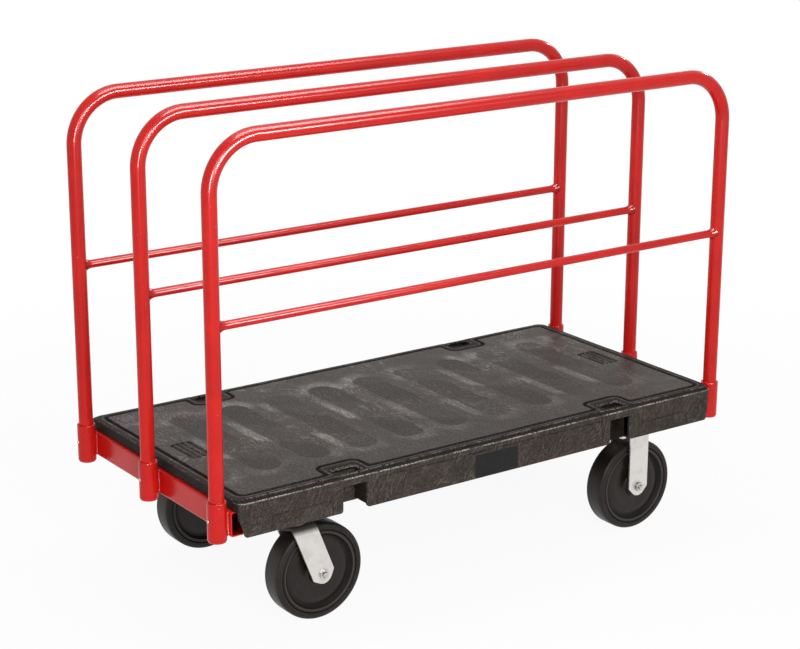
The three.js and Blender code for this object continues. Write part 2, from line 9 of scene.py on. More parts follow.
import bmesh
import bpy
import numpy as np
from mathutils import Matrix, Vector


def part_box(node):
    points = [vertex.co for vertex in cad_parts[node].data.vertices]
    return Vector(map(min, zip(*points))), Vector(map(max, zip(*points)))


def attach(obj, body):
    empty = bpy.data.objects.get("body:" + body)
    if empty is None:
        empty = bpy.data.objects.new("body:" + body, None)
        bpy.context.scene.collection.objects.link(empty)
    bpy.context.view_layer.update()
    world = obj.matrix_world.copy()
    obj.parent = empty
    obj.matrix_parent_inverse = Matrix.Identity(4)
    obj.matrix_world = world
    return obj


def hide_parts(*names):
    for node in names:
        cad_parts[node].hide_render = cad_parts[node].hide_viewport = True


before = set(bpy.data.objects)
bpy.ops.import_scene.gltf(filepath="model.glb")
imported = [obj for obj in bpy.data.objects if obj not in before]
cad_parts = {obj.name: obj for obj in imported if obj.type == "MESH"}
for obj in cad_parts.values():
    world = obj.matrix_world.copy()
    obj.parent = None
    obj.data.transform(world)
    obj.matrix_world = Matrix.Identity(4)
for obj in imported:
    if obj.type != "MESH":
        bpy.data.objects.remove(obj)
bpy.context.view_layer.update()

Array = np.ndarray
Socket = bpy.types.NodeSocket
Placed = bpy.types.Object
Run = tuple[float, float]
Corner = tuple[float, float, float]
Seen = tuple[int, int, int]
LOG = logging.getLogger("cart")
FULL_TURN = 2.0 * math.pi
QUARTER_TURN = 0.5 * math.pi
WELD = 1e-6
ENDS = ("left", "right")
ROWS = ("front", "middle", "rear")


class Slot(Enum):
    """The finishes of the cart, by the record's material slots."""

    RED_PAINT = "red_paint"
    DECK_PLASTIC = "deck_plastic"
    LABEL_FACE = "label_face"
    BRIGHT_ZINC = "bright_zinc"
    BOLT_STEEL = "bolt_steel"
    TYRE_RUBBER = "tyre_rubber"
    WHEEL_PLASTIC = "wheel_plastic"


class Axis(Enum):
    """The direction that a turned or raised piece stands along."""

    X = 0
    Y = 1
    Z = 2


@dataclass(frozen=True)
class Space:
    """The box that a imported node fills."""

    low: Array
    high: Array

    @classmethod
    def of(cls, node: str) -> "Space":
        """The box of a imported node, by its name."""
        low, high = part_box(node)
        return cls(np.array(low, dtype=float), np.array(high, dtype=float))

    @property
    def middle(self) -> Array:
        """The centre of the box."""
        return (self.low + self.high) / 2

    @property
    def size(self) -> Array:
        """The length of the box along X, Y and Z."""
        return self.high - self.low

    @property
    def half(self) -> Array:
        """Half its length along X, Y and Z."""
        return self.size / 2

    def run(self, axis: Axis, sign: int) -> Run:
        """Its two ends along an axis, the far one in the direction of the sign."""
        ends = (self.low[axis.value], self.high[axis.value])
        return ends if sign > 0 else ends[::-1]


def box_distance(x: Array, y: Array, half_x: float, half_y: float, corner: float) -> Array:
    """Distance to a rounded rectangle about the origin, below zero inside it.

    The distance to the inner rectangle of the corner centres, less the corner radius.

    Args:
        x: Places along X.
        y: Places along Y.
        half_x: Half the length.
        half_y: Half the width.
        corner: Radius of its corners.

    Returns:
        The signed distances.
    """
    over_x = np.abs(x) - (half_x - corner)
    over_y = np.abs(y) - (half_y - corner)
    outside = np.hypot(np.maximum(over_x, 0), np.maximum(over_y, 0))
    return outside + np.minimum(np.maximum(over_x, over_y), 0) - corner


def eased(value: Array, start: float, end: float) -> Array:
    """A smooth step from 0 at start to 1 at end: 3t squared less 2t cubed.

    Args:
        value: Where the step is read.
        start: Value at which it leaves 0.
        end: Value at which it reaches 1.

    Returns:
        The step at each value.
    """
    share = np.clip((value - start) / (end - start), 0, 1)
    return share * share * (3 - 2 * share)


def bump_of(value: Array, centre: float, reach: float) -> Array:
    """A straight peak: 1 at the centre, falling to 0 at the reach on both sides."""
    return np.clip(1 - np.abs(value - centre) / reach, 0, 1)


def filleted(corners: Sequence[Corner], closed: bool = True, steps: int = 4) -> Array:
    """An outline whose corners are rounded.

    The arc at a corner touches both edges at the radius over the tangent of half the corner's angle,
    and its points turn evenly between the two touching points.

    Args:
        corners: Each corner's two places and the radius there.
        closed: Whether the last corner joins the first.
        steps: Segments in each arc.

    Returns:
        The outline's points, one row each.
    """
    parts = []
    places = np.array([corner[:2] for corner in corners], dtype=float)
    last = len(corners) - 1
    for number, (here, corner) in enumerate(zip(places, corners, strict=True)):
        radius = corner[2]
        if radius <= 0 or (not closed and number in (0, last)):
            parts.append(here[None])
            continue
        back = places[number - 1] - here
        ahead = places[(number + 1) % len(places)] - here
        back /= np.linalg.norm(back)
        ahead /= np.linalg.norm(ahead)
        half = math.acos(np.clip(back @ ahead, -1, 1)) / 2
        bisector = (back + ahead) / np.linalg.norm(back + ahead)
        centre = here + bisector * radius / math.sin(half)
        start = here + back * radius / math.tan(half) - centre
        end = here + ahead * radius / math.tan(half) - centre
        sweep = math.pi - 2 * half
        share = np.linspace(0, 1, steps + 1)[:, None]
        arc = np.sin((1 - share) * sweep) * start + np.sin(share * sweep) * end
        parts.append(centre + arc / math.sin(sweep))
    return np.concatenate(parts)


def rounded_rectangle(half_x: float, half_y: float, corner: float, steps: int = 5) -> Array:
    """The outline of a rectangle about the origin with round corners, turning left all the way.

    Args:
        half_x: Half the length.
        half_y: Half the width.
        corner: Radius of its corners.
        steps: Segments in each corner.

    Returns:
        The outline's points.
    """
    signs = ((1, -1), (1, 1), (-1, 1), (-1, -1))
    return filleted([(sx * half_x, sy * half_y, corner) for sx, sy in signs], steps=steps)


def ring_of(sides: int, radius: float, corner: float = 0.0) -> Array:
    """A circle, or a polygon with eased corners where a corner radius is given.

    Args:
        sides: Points of the circle, or sides of the polygon.
        radius: Reach of its corners.
        corner: Radius of the polygon's corners.

    Returns:
        The outline's points.
    """
    turn = np.arange(sides) * FULL_TURN / sides
    places = np.stack([np.cos(turn), np.sin(turn)], axis=1) * radius
    if corner <= 0:
        return places
    return filleted([(x, y, corner) for x, y in places], steps=3)


def stood(points: Array, axis: Axis, centre: Sequence[float]) -> Array:
    """Turns a shape that is made about the Z axis so that it stands along another, and moves it.

    The three directions change places in a circle, which turns the shape without mirroring it.

    Args:
        points: Places about the origin, the last direction along the axis.
        axis: The direction to stand along.
        centre: Where the origin goes.

    Returns:
        The moved places.
    """
    return np.roll(points, axis.value + 1, axis=-1) + np.array(centre, dtype=float)


def turned(profile: Array, sides: int, axis: Axis, centre: Sequence[float]) -> Array:
    """A profile carried round an axis: the radius times the cosine and sine of the turn.

    Args:
        profile: Pairs of a radius and a place along the axis.
        sides: Steps of the full turn.
        axis: The axis it turns about.
        centre: A point of the axis.

    Returns:
        A grid with a row for each pair and a column for each step.
    """
    flat = profile[:, :1, None] * ring_of(sides, 1.0)
    along = np.broadcast_to(profile[:, 1:, None], flat.shape[:2] + (1,))
    return stood(np.concatenate([flat, along], axis=-1), axis, centre)


def slab(outline: Array, low: float, high: float, edge: float, steps: int = 3) -> Array:
    """A flat piece with eased edges: its outline, drawn in towards both faces, then closed at the middle.

    Near a face, the outline moves in by the edge radius less its sine while it rises by the cosine.

    Args:
        outline: A closed outline that turns left.
        low: Height of its lower face.
        high: Height of its upper face.
        edge: Radius of its edges.
        steps: Segments in each edge.

    Returns:
        A grid with a row for each level and a column for each point of the outline.
    """
    run = np.roll(outline, -1, axis=0) - np.roll(outline, 1, axis=0)
    outward = np.stack([run[:, 1], -run[:, 0]], axis=1)
    outward /= np.linalg.norm(outward, axis=1, keepdims=True)
    swing = np.linspace(0, QUARTER_TURN, steps + 1)
    inset = edge * (1 - np.sin(swing))
    rise = edge * (1 - np.cos(swing))
    insets = np.concatenate([inset, inset[::-1]])
    levels = np.concatenate([low + rise, high - rise[::-1]])
    rings = outline[None] - insets[:, None, None] * outward[None]
    middle = np.broadcast_to(outline.mean(axis=0), (1,) + outline.shape)
    plan = np.concatenate([middle, rings, middle])
    heights = np.concatenate([[low], levels, [high]])[:, None, None]
    return np.concatenate([plan, np.broadcast_to(heights, plan.shape[:2] + (1,))], axis=-1)


def swept(path: Array, radii: Array, sides: int, across: Sequence[float]) -> Array:
    """A round section carried along a path.

    At each station the section lies in the plane of the side direction and its cross product with the run.

    Args:
        path: The stations, one row each.
        radii: The section's radius at each station.
        sides: Points of the section.
        across: A direction that the path never runs along.

    Returns:
        A grid with a row for each station and a column for each point of the section.
    """
    run = np.gradient(path, axis=0)
    run /= np.linalg.norm(run, axis=1, keepdims=True)
    upward = np.cross(run, np.array(across, dtype=float))
    upward /= np.linalg.norm(upward, axis=1, keepdims=True)
    side = np.cross(upward, run)
    cosine, sine = ring_of(sides, 1.0).T[:, None, :, None]
    return path[:, None] + (cosine * upward[:, None] + sine * side[:, None]) * radii[:, None, None]


def border_of(grid: Array) -> Array:
    """The places round the border of a grid, once each."""
    return np.concatenate([grid[0], grid[1:, -1], grid[-1, -2::-1], grid[-2:0:-1, 0]])


def both_ways(side: Sequence[Corner]) -> list[Corner]:
    """Corners of a profile on one side of its middle plane, and then those of the other side."""
    return [*side, *((radius, -place, fillet) for radius, place, fillet in reversed(side) if place)]


class Skin:
    """Grids of points that are gathered into one mesh."""

    SHARP_ANGLE = math.radians(38.0)

    def __init__(self, outward: bool = True) -> None:
        """Starts an empty skin.

        Args:
            outward: Whether it is of closed shells, whose normals are turned outward.
        """
        self.outward = outward
        self.points: list[Array] = []
        self.faces: list[Array] = []
        self.marks: list[dict[str, Array]] = []
        self.count = 0

    @classmethod
    def of(cls, points: Array, **settings: object) -> "Skin":
        """A skin of one grid.

        Args:
            points: Rows and columns of places.
            **settings: The settings of the grid.

        Returns:
            The skin.
        """
        skin = cls()
        skin.grid(points, **settings)
        return skin

    def grid(
        self,
        points: Array,
        around: bool = True,
        along: bool = False,
        flip: bool = False,
        keep: Array | None = None,
        **marks: Array,
    ) -> None:
        """Adds a grid of points with a face between each four neighbours.

        Args:
            points: Rows and columns of places.
            around: Whether the last column joins the first.
            along: Whether the last row joins the first.
            flip: Whether the faces are turned over.
            keep: Which of the faces are made, where not all are.
            **marks: A value for each point, by the attribute's name.
        """
        rows, columns = points.shape[:2]
        index = np.arange(rows * columns).reshape(rows, columns) + self.count
        if around:
            index = np.concatenate([index, index[:, :1]], axis=1)
        if along:
            index = np.concatenate([index, index[:1]], axis=0)
        quads = np.stack([index[:-1, :-1], index[:-1, 1:], index[1:, 1:], index[1:, :-1]], axis=-1)
        if keep is not None:
            quads = quads[keep]
        quads = quads.reshape(-1, 4)
        self.faces.append(quads[:, ::-1] if flip else quads)
        self.points.append(points.reshape(-1, 3))
        self.marks.append({n: np.broadcast_to(mark, (rows, columns)).ravel() for n, mark in marks.items()})
        self.count += rows * columns

    def object(self, name: str) -> Placed:
        """Makes the mesh object: doubles merged, normals outward, smooth but for its sharp edges.

        Args:
            name: Name of the piece.

        Returns:
            The object, at the origin.
        """
        mesh = bpy.data.meshes.new(name)
        mesh.from_pydata(np.concatenate(self.points).tolist(), [], np.concatenate(self.faces).tolist())
        for label in sorted({label for marks in self.marks for label in marks}):
            parts = zip(self.marks, self.points, strict=True)
            values = np.concatenate([marks.get(label, np.zeros(len(points))) for marks, points in parts])
            layer = mesh.attributes.new(label, "FLOAT", "POINT")
            layer.data.foreach_set("value", values.astype(np.float32))
        work = bmesh.new()
        work.from_mesh(mesh)
        bmesh.ops.remove_doubles(work, verts=work.verts, dist=WELD)
        if self.outward:
            bmesh.ops.recalc_face_normals(work, faces=work.faces)
        work.to_mesh(mesh)
        work.free()
        mesh.shade_smooth()
        mesh.set_sharp_from_angle(angle=self.SHARP_ANGLE)
        made = bpy.data.objects.new(name, mesh)
        bpy.context.scene.collection.objects.link(made)
        made.modifiers.new("even_shading", "WEIGHTED_NORMAL").keep_sharp = True
        return made


class Value:
    """A value that runs through a graph, where each operator adds a Math node."""

    def __init__(self, graph: "Graph", socket: Socket) -> None:
        """Takes an output socket of the graph's tree."""
        self.graph = graph
        self.socket = socket

    def __add__(self, other: "Value | float") -> "Value":
        """The sum with another value."""
        return self.graph.math("ADD", self, other)

    def __sub__(self, other: "Value | float") -> "Value":
        """This value less another."""
        return self.graph.math("SUBTRACT", self, other)

    def __rsub__(self, other: float) -> "Value":
        """A number less this value."""
        return self.graph.math("SUBTRACT", other, self)

    def __mul__(self, other: "Value | float") -> "Value":
        """The product with another value."""
        return self.graph.math("MULTIPLY", self, other)

    def __abs__(self) -> "Value":
        """This value without its sign."""
        return self.graph.math("ABSOLUTE", self)

    def greater(self, other: "Value | float") -> "Value":
        """The greater of this and another value."""
        return self.graph.math("MAXIMUM", self, other)

    def eased(self, start: float, end: float, low: float = 0.0, high: float = 1.0) -> "Value":
        """A smooth step, from low at start to high at end."""
        feeds = {"Value": self, "From Min": start, "From Max": end, "To Min": low, "To Max": high}
        return self.graph.value("ShaderNodeMapRange", feeds, interpolation_type="SMOOTHSTEP")


class Graph:
    """The nodes of one material or node group, added one by one."""

    MIX_A = 6
    MIX_B = 7
    MIX_RESULT = 2

    def __init__(self, tree: bpy.types.NodeTree) -> None:
        """Takes the node tree of a material, a world or a group."""
        self.tree = tree

    def feed(self, socket: Socket, term: object) -> None:
        """Feeds an input socket.

        Args:
            socket: The input socket.
            term: A value that is linked to it, or a number or colour that it holds.
        """
        if isinstance(term, Value):
            self.tree.links.new(term.socket, socket)
        else:
            socket.default_value = term

    def node(self, kind: str, feeds: dict[str | int, object], **settings: object) -> bpy.types.Node:
        """Adds a node.

        Args:
            kind: Blender's name of the node type.
            feeds: What goes into its inputs, by name or number.
            **settings: The node's own settings.

        Returns:
            The node.
        """
        made = self.tree.nodes.new(kind)
        for name, setting in settings.items():
            setattr(made, name, setting)
        for name, term in feeds.items():
            self.feed(made.inputs[name], term)
        return made

    def values(self, kind: str, feeds: dict[str | int, object], **settings: object) -> list[Value]:
        """Adds a node and gives all its outputs."""
        return [Value(self, socket) for socket in self.node(kind, feeds, **settings).outputs]

    def value(self, kind: str, feeds: dict[str | int, object], **settings: object) -> Value:
        """Adds a node and gives its first output."""
        return self.values(kind, feeds, **settings)[0]

    def math(self, operation: str, *terms: object) -> Value:
        """The result of a Math node on its terms."""
        return self.value("ShaderNodeMath", dict(enumerate(terms)), operation=operation)

    def vectors(self, operation: str, *terms: object) -> Value:
        """The result of a Vector Math node on its terms."""
        return self.value("ShaderNodeVectorMath", dict(enumerate(terms)), operation=operation)

    def mix(self, share: object, first: object, second: object) -> Value:
        """A mix of two colours.

        Args:
            share: How much of the second colour shows.
            first: A value, or a tone as it is seen.
            second: A value, or a tone as it is seen.

        Returns:
            The mixed colour.
        """
        under, over = (tone(*colour) if isinstance(colour, tuple) else colour for colour in (first, second))
        made = self.node("ShaderNodeMix", {}, data_type="RGBA")
        for number, term in ((0, share), (self.MIX_A, under), (self.MIX_B, over)):
            self.feed(made.inputs[number], term)
        return Value(self, made.outputs[self.MIX_RESULT])

    def noise(self, vector: Value, scale: object, detail: float = 2.0, roughness: float = 0.5) -> Value:
        """The value of a noise texture."""
        feeds = {"Vector": vector, "Scale": scale, "Detail": detail, "Roughness": roughness}
        return self.value("ShaderNodeTexNoise", feeds)

    def mapped(self, vector: Value, scale: Corner, turn: Corner = (0.0, 0.0, 0.0)) -> Value:
        """A vector that is stretched and then turned."""
        return self.value("ShaderNodeMapping", {"Vector": vector, "Rotation": turn, "Scale": scale})

    def attribute(self, name: str) -> Value:
        """The value of a mesh attribute."""
        return self.values("ShaderNodeAttribute", {}, attribute_name=name)[2]

    def place(self) -> Value:
        """The Object coordinates."""
        return self.values("ShaderNodeTexCoord", {})[3]

    def split(self, vector: Value) -> list[Value]:
        """The three parts of a vector."""
        return self.values("ShaderNodeSeparateXYZ", {0: vector})

    def bump(self, height: Value, distance: float, **below: Value) -> Value:
        """A normal that is tilted by a height, on top of another where Normal is given."""
        feeds = {"Height": height, "Distance": distance, "Strength": 1.0, **below}
        return self.value("ShaderNodeBump", feeds)

    def direct(self) -> Value:
        """1 for rays from the camera, off gloss or through glass, and 0 for those that light the cart."""
        rays = self.node("ShaderNodeLightPath", {}).outputs
        kinds = [Value(self, rays[f"Is {kind} Ray"]) for kind in ("Camera", "Glossy", "Transmission")]
        return kinds[0].greater(kinds[1]).greater(kinds[2])


def tone(red: int, green: int, blue: int) -> tuple[float, float, float, float]:
    """A colour as it is seen, from 0 to 255, made linear with the sRGB curve.

    Args:
        red: The red part.
        green: The green part.
        blue: The blue part.

    Returns:
        The linear colour, opaque.
    """
    seen = np.array([red, green, blue]) / 255.0
    linear = np.where(seen <= 0.04045, seen / 12.92, ((seen + 0.055) / 1.055) ** 2.4)
    return (*linear.tolist(), 1.0)


class SharedEffects:
    """The node groups that several finishes use: soft clouding and fine strokes."""

    BEND_SCALE = 11.0
    BEND_REACH = 0.085
    GATE_SCALE = 26.0

    def __init__(self) -> None:
        """Builds each group once."""
        self.clouding = self._clouding()
        self.strokes = self._strokes()

    @staticmethod
    def _started(name: str, inputs: Sequence[str], outputs: Sequence[str]) -> tuple[Graph, list[Value]]:
        """An empty group with its sockets.

        Args:
            name: Name of the group.
            inputs: Names of its inputs, of which Vector and Stretch are vectors.
            outputs: Names of its values.

        Returns:
            A graph that fills the group, and the values that come in.
        """
        tree = bpy.data.node_groups.new(name, "ShaderNodeTree")
        for label in inputs:
            kind = "NodeSocketVector" if label in ("Vector", "Stretch") else "NodeSocketFloat"
            tree.interface.new_socket(name=label, in_out="INPUT", socket_type=kind)
        for label in outputs:
            tree.interface.new_socket(name=label, in_out="OUTPUT", socket_type="NodeSocketFloat")
        graph = Graph(tree)
        return graph, graph.values("NodeGroupInput", {})[: len(inputs)]

    def _clouding(self) -> bpy.types.NodeTree:
        """Soft patches and fine grain: two noises, one for each."""
        labels = ("Vector", "Patch Scale", "Grain Scale")
        graph, (vector, patch_scale, grain_scale) = self._started("clouding", labels, ("Patches", "Grain"))
        patches = graph.noise(vector, patch_scale, 5.0, 0.6)
        grain = graph.noise(vector, grain_scale, 3.0, 0.65)
        graph.node("NodeGroupOutput", {"Patches": patches, "Grain": grain})
        return graph.tree

    def _strokes(self) -> bpy.types.NodeTree:
        """Fine curved strokes: a stretched noise, its places bent by a slow one first, gated by a third."""
        labels = ("Vector", "Stretch", "Scale")
        graph, (vector, stretch, scale) = self._started("strokes", labels, ("Strokes",))
        slow = {"Vector": vector, "Scale": self.BEND_SCALE, "Detail": 1.0}
        shift = graph.vectors("SUBTRACT", graph.values("ShaderNodeTexNoise", slow)[1], (0.5, 0.5, 0.5))
        bent = graph.vectors("ADD", vector, graph.vectors("MULTIPLY", shift, (self.BEND_REACH,) * 3))
        fine = graph.noise(graph.vectors("MULTIPLY", bent, stretch), scale, 2.0, 0.6)
        gate = graph.noise(vector, self.GATE_SCALE).eased(0.36, 0.62, 0.25, 1.0)
        graph.node("NodeGroupOutput", {"Strokes": fine.eased(0.46, 0.64) * gate})
        return graph.tree


class FinishGraph(Graph):
    """The graph of one finish, with the Object coordinates and the shared clouding at hand."""

    def __init__(self, tree: bpy.types.NodeTree, effects: SharedEffects, patch: float, grain: float) -> None:
        """Places the clouding.

        Args:
            tree: The material's node tree.
            effects: The shared node groups.
            patch: Scale of the soft patches.
            grain: Scale of the fine grain.
        """
        super().__init__(tree)
        self.effects = effects
        self.where = self.place()
        feeds = {"Vector": self.where, "Patch Scale": patch, "Grain Scale": grain}
        self.patches, self.grain = self.values("ShaderNodeGroup", feeds, node_tree=effects.clouding)

    def strokes(self, vector: Value, stretch: Corner, scale: float) -> Value:
        """The shared strokes, drawn out where the stretch is small."""
        feeds = {"Vector": vector, "Stretch": stretch, "Scale": scale}
        return self.value("ShaderNodeGroup", feeds, node_tree=self.effects.strokes)


# What a finish works out: the colour, the roughness and the normal.
Look = tuple[Value, Value, Value]


@dataclass(frozen=True)
class Finish:
    """A surface finish: plain shader values, and the colour, roughness and normal that it works out."""

    name: str = "finish"
    metallic: float = 0.0
    specular: float = 0.5
    patch_scale: float = 50.0
    grain_scale: float = 1000.0

    def material(self, effects: SharedEffects) -> bpy.types.Material:
        """Builds the material.

        Args:
            effects: The shared node groups.

        Returns:
            The material.
        """
        made = bpy.data.materials.new(self.name)
        made.use_nodes = True
        graph = FinishGraph(made.node_tree, effects, self.patch_scale, self.grain_scale)
        colour, roughness, normal = self.look(graph)
        feeds = {"Base Color": colour, "Roughness": roughness, "Normal": normal}
        feeds |= {"Metallic": self.metallic, "Specular IOR Level": self.specular}
        for label, term in feeds.items():
            graph.feed(made.node_tree.nodes["Principled BSDF"].inputs[label], term)
        return made

    def look(self, graph: FinishGraph) -> Look:
        """The colour, roughness and normal, which each finish works out in its own graph."""
        raise NotImplementedError


@dataclass(frozen=True)
class RedPowderCoat(Finish):
    """Glossy red powder coat with fine orange peel, soft patches and a few pale specks."""

    name: str = "red_powder_coat"
    specular: float = 0.21
    patch_scale: float = 9.0
    grain_scale: float = 260.0
    body: Seen = (208, 32, 25)
    deep: Seen = (196, 25, 20)
    speck: Seen = (236, 150, 144)
    unlit: Seen = (38, 8, 8)
    gloss: Run = (0.17, 0.21)
    peel_depth: float = 0.0000012

    def look(self, graph: FinishGraph) -> Look:
        """Deeper patches, specks where a fine noise is highest, and the unlit tone as painted shade where the
        mesh is marked.

        Args:
            graph: The material's graph.

        Returns:
            The colour, the roughness and the normal.
        """
        colour = graph.mix(graph.patches.eased(0.35, 0.65), self.body, self.deep)
        colour = graph.mix(graph.noise(graph.where, 260.0, 1.0).eased(0.80, 0.82), colour, self.speck)
        # Painted shade: the unlit tone inside the beams, on the arms under the platform and by the rail's
        # welds.
        colour = graph.mix(graph.attribute("hollow"), colour, self.unlit)
        return colour, graph.patches.eased(0.3, 0.7, *self.gloss), graph.bump(graph.grain, self.peel_depth)


@dataclass(frozen=True)
class MouldedPlastic(Finish):
    """Semi-gloss moulded plastic with flow marks on its top, strokes on its sides and painted highlights on
    its edges.
    """

    name: str = "moulded_plastic"
    specular: float = 0.14
    patch_scale: float = 19.0
    grain_scale: float = 300.0
    body: Seen = (59, 52, 47)
    dark: Seen = (34, 29, 25)
    pale: Seen = (158, 154, 149)
    stroke: Seen = (106, 96, 88)
    reflection_tone: Seen = (64, 45, 37)
    grime_and_shade: Seen = (12, 10, 9)
    edge_highlight: Seen = (196, 190, 183)
    flow_pitch: float = 0.115
    flow_half_width: float = 0.033
    flow_half_run: float = 0.156
    flow_limit: float = 0.518
    flow_wobble: float = 0.012
    flow_lean: float = 0.9
    strip_pitch: float = 21.0
    halo_run: float = 0.044
    end_shade_run: Run = (0.6030, 0.6065)
    end_shade_side_run: Run = (0.303, 0.294)
    front_shade_run: Run = (-0.26, 0.06)
    panels: tuple[tuple[float, ...], ...] = ((0.0, 0.255, 0.292, 0.044), (0.466, 0.240, 0.070, 0.034))
    panel_corner: float = 0.008
    panel_line: Run = (0.0021, 0.0006)
    panel_step: float = 0.0008
    streak_stretch: Corner = (1.0, 0.13, 1.0)
    streak_scale: float = 240.0
    stroke_stretch: Corner = (1.0, 1.0, 0.11)
    stroke_scale: float = 330.0
    stroke_lean: float = math.radians(-34.0)
    fine_relief: float = 0.00022
    deep_relief: float = 0.0012

    def _flow(self, graph: FinishGraph) -> tuple[Value, Value]:
        """The dark lozenges and the pale patches beside them and past their ends, the pale ones partly flow
        marks and partly painted sheen.

        Each lozenge is a stadium across the platform. Its distance is that to its middle line, less half its
        width. The strips between them come and go with a sine that leans and shifts from one to the next.

        Args:
            graph: The material's graph.

        Returns:
            A mask of the lozenges and one of the pale patches.
        """
        x, y, _ = graph.split(graph.where)
        half = self.flow_half_width
        near = graph.math("WRAP", x, self.flow_pitch / 2, -self.flow_pitch / 2)
        past = abs(y) - self.flow_half_run
        beyond = past.greater(0.0)
        soft = (graph.patches - 0.5) * self.flow_wobble
        distance = graph.math("SQRT", near * near + beyond * beyond) - half + soft
        inside = abs(x).eased(self.flow_limit, self.flow_limit - 0.006)
        cell = graph.math("ROUND", graph.math("DIVIDE", x, self.flow_pitch))
        run = y + graph.math("SINE", cell * 2.3) * 0.10 + near * self.flow_lean
        strips = graph.math("SINE", run * self.strip_pitch)
        strong = (strips + soft * 40.0).eased(-0.55, 0.35, 0.35, 1.0)
        lozenge = distance.eased(0.0025, -0.0035) * inside * strong
        shaky = near + soft * 0.7
        strip = shaky.eased(0.005 - half, -0.004 - half) * shaky.eased(-0.0265 - half, -0.0175 - half)
        pieces = (soft * 90.0 - strips).eased(-0.20, 0.55)
        uneven = graph.noise(graph.where, 4.3, 1.5).eased(0.42, 0.56, 0.50, 1.0)
        strip = strip * past.eased(0.022, -0.014) * pieces * inside * uneven
        ring = distance.eased(-0.001, 0.005) * distance.eased(self.halo_run, 0.008)
        blots = graph.noise(graph.mapped(graph.where, (1.0, 0.7, 1.0)), 6.5).eased(0.42, 0.60)
        # The halos, partly painted sheen, grow paler toward the rear.
        halo = ring * past.eased(-0.020, 0.014) * blots * y.eased(-0.05, 0.10, 0.35, 1.0)
        return lozenge, strip.greater(halo)

    def _panel_lines(self, graph: FinishGraph) -> tuple[Value, Value]:
        """Raised panels on the long skirts, mirrored end to end.

        The distance to a rounded box gives a thin line at its edge and a step that rises inside it.

        Args:
            graph: The material's graph.

        Returns:
            A mask of the lines and one of the raised faces.
        """
        x, _, z = graph.split(graph.where)
        lines, faces = [], []
        for middle_x, middle_z, half_x, half_z in self.panels:
            over_x = abs(abs(x) - middle_x) - (half_x - self.panel_corner)
            over_z = abs(z - middle_z) - (half_z - self.panel_corner)
            out_x, out_z = over_x.greater(0.0), over_z.greater(0.0)
            inner = graph.math("MINIMUM", over_x.greater(over_z), 0.0)
            distance = graph.math("SQRT", out_x * out_x + out_z * out_z) + inner - self.panel_corner
            lines.append(abs(distance).eased(*self.panel_line))
            faces.append(distance.eased(self.panel_step, -self.panel_step))
        return lines[0].greater(lines[1]), faces[0].greater(faces[1])

    def _top(self, graph: FinishGraph, streaks: Value, lozenge: Value, reflection_patches: Value) -> Value:
        """The colour of the top: dark and body by the patches, brownish patches of painted reflection, painted
        shade toward the front, then the flow marks.

        Args:
            graph: The material's graph.
            streaks: Strokes across the platform.
            lozenge: Mask of the lozenges.
            reflection_patches: Mask of the brownish patches of painted reflection of the red hoops.

        Returns:
            The colour below the pale bands.
        """
        away = graph.split(graph.where)[1].eased(*self.front_shade_run, 0.20, 1.0)
        colour = graph.mix(graph.patches.eased(0.34, 0.66), self.dark, self.body)
        colour = graph.mix(reflection_patches * 0.6, colour, self.reflection_tone)
        # Painted shade toward the front.
        colour = graph.mix(away.eased(1.0, 0.2, 0.0, 0.65), colour, self.dark)
        colour = graph.mix(lozenge * 0.52, colour, self.dark)
        colour = graph.mix(streaks.eased(0.45, 0.0, 0.0, 0.50), colour, self.dark)
        # Pale brushed patches, held back toward the front with that shade.
        broad = graph.noise(graph.where, 7.0, 3.0).eased(0.38, 0.64, 0.03, 0.46) * away
        brushed = streaks.eased(0.05, 0.85, 0.03, 1.0) * broad
        return graph.mix(brushed * (1.0 - lozenge * 0.70), colour, self.pale)

    def _skirt(self, graph: FinishGraph, strokes: Value, shade_and_seams: Sequence[Value], reflection_patches: Value) -> Value:
        """The colour of the skirts: an evener ground with leaning strokes, brownish patches of painted
        reflection, painted shade on the end faces and dark panel seams.

        Args:
            graph: The material's graph.
            strokes: Strokes of the sides.
            shade_and_seams: Masks of the painted shade on the end faces and of the panel seams.
            reflection_patches: Mask of the brownish patches of painted reflection of the red hoops.

        Returns:
            The colour.
        """
        colour = graph.mix(graph.patches.eased(0.34, 0.66, 0.35, 0.85), self.dark, self.body)
        colour = graph.mix(reflection_patches * 0.15, colour, self.reflection_tone)
        colour = graph.mix(strokes * 0.55, colour, self.stroke)
        for mask in shade_and_seams:
            colour = graph.mix(mask * 0.85, colour, self.grime_and_shade)
        return colour

    def look(self, graph: FinishGraph) -> Look:
        """Top and skirts by the upper mark, then grain, painted shade in the grooves and low places, and
        painted highlights on the edges.

        Args:
            graph: The material's graph.

        Returns:
            The colour, the roughness and the normal.
        """
        upper, groove = graph.attribute("upper"), graph.attribute("groove")
        side = 1.0 - upper
        lozenge, pale_flow_and_sheen = self._flow(graph)
        lines, faces = self._panel_lines(graph)
        streaks = graph.strokes(graph.where, self.streak_stretch, self.streak_scale)
        leaning = graph.mapped(graph.where, (1.0, 1.0, 1.0), (0.0, self.stroke_lean, 0.0))
        strokes = graph.strokes(leaning, self.stroke_stretch, self.stroke_scale)
        x, y, _ = graph.split(graph.where)
        patchy = graph.noise(graph.where, 24.0).eased(0.36, 0.56, 0.25, 1.0)
        broken = graph.noise(graph.where, 210.0).eased(0.40, 0.54) * patchy
        # Painted shade on the end faces of the lip.
        ends = abs(x).eased(*self.end_shade_run) * abs(y).eased(*self.end_shade_side_run)
        # Painted highlights where the edges are marked, broken up and held back on the end faces.
        painted_light = graph.attribute("edge") * (broken * ends.eased(0.0, 1.0, 1.0, 0.2))
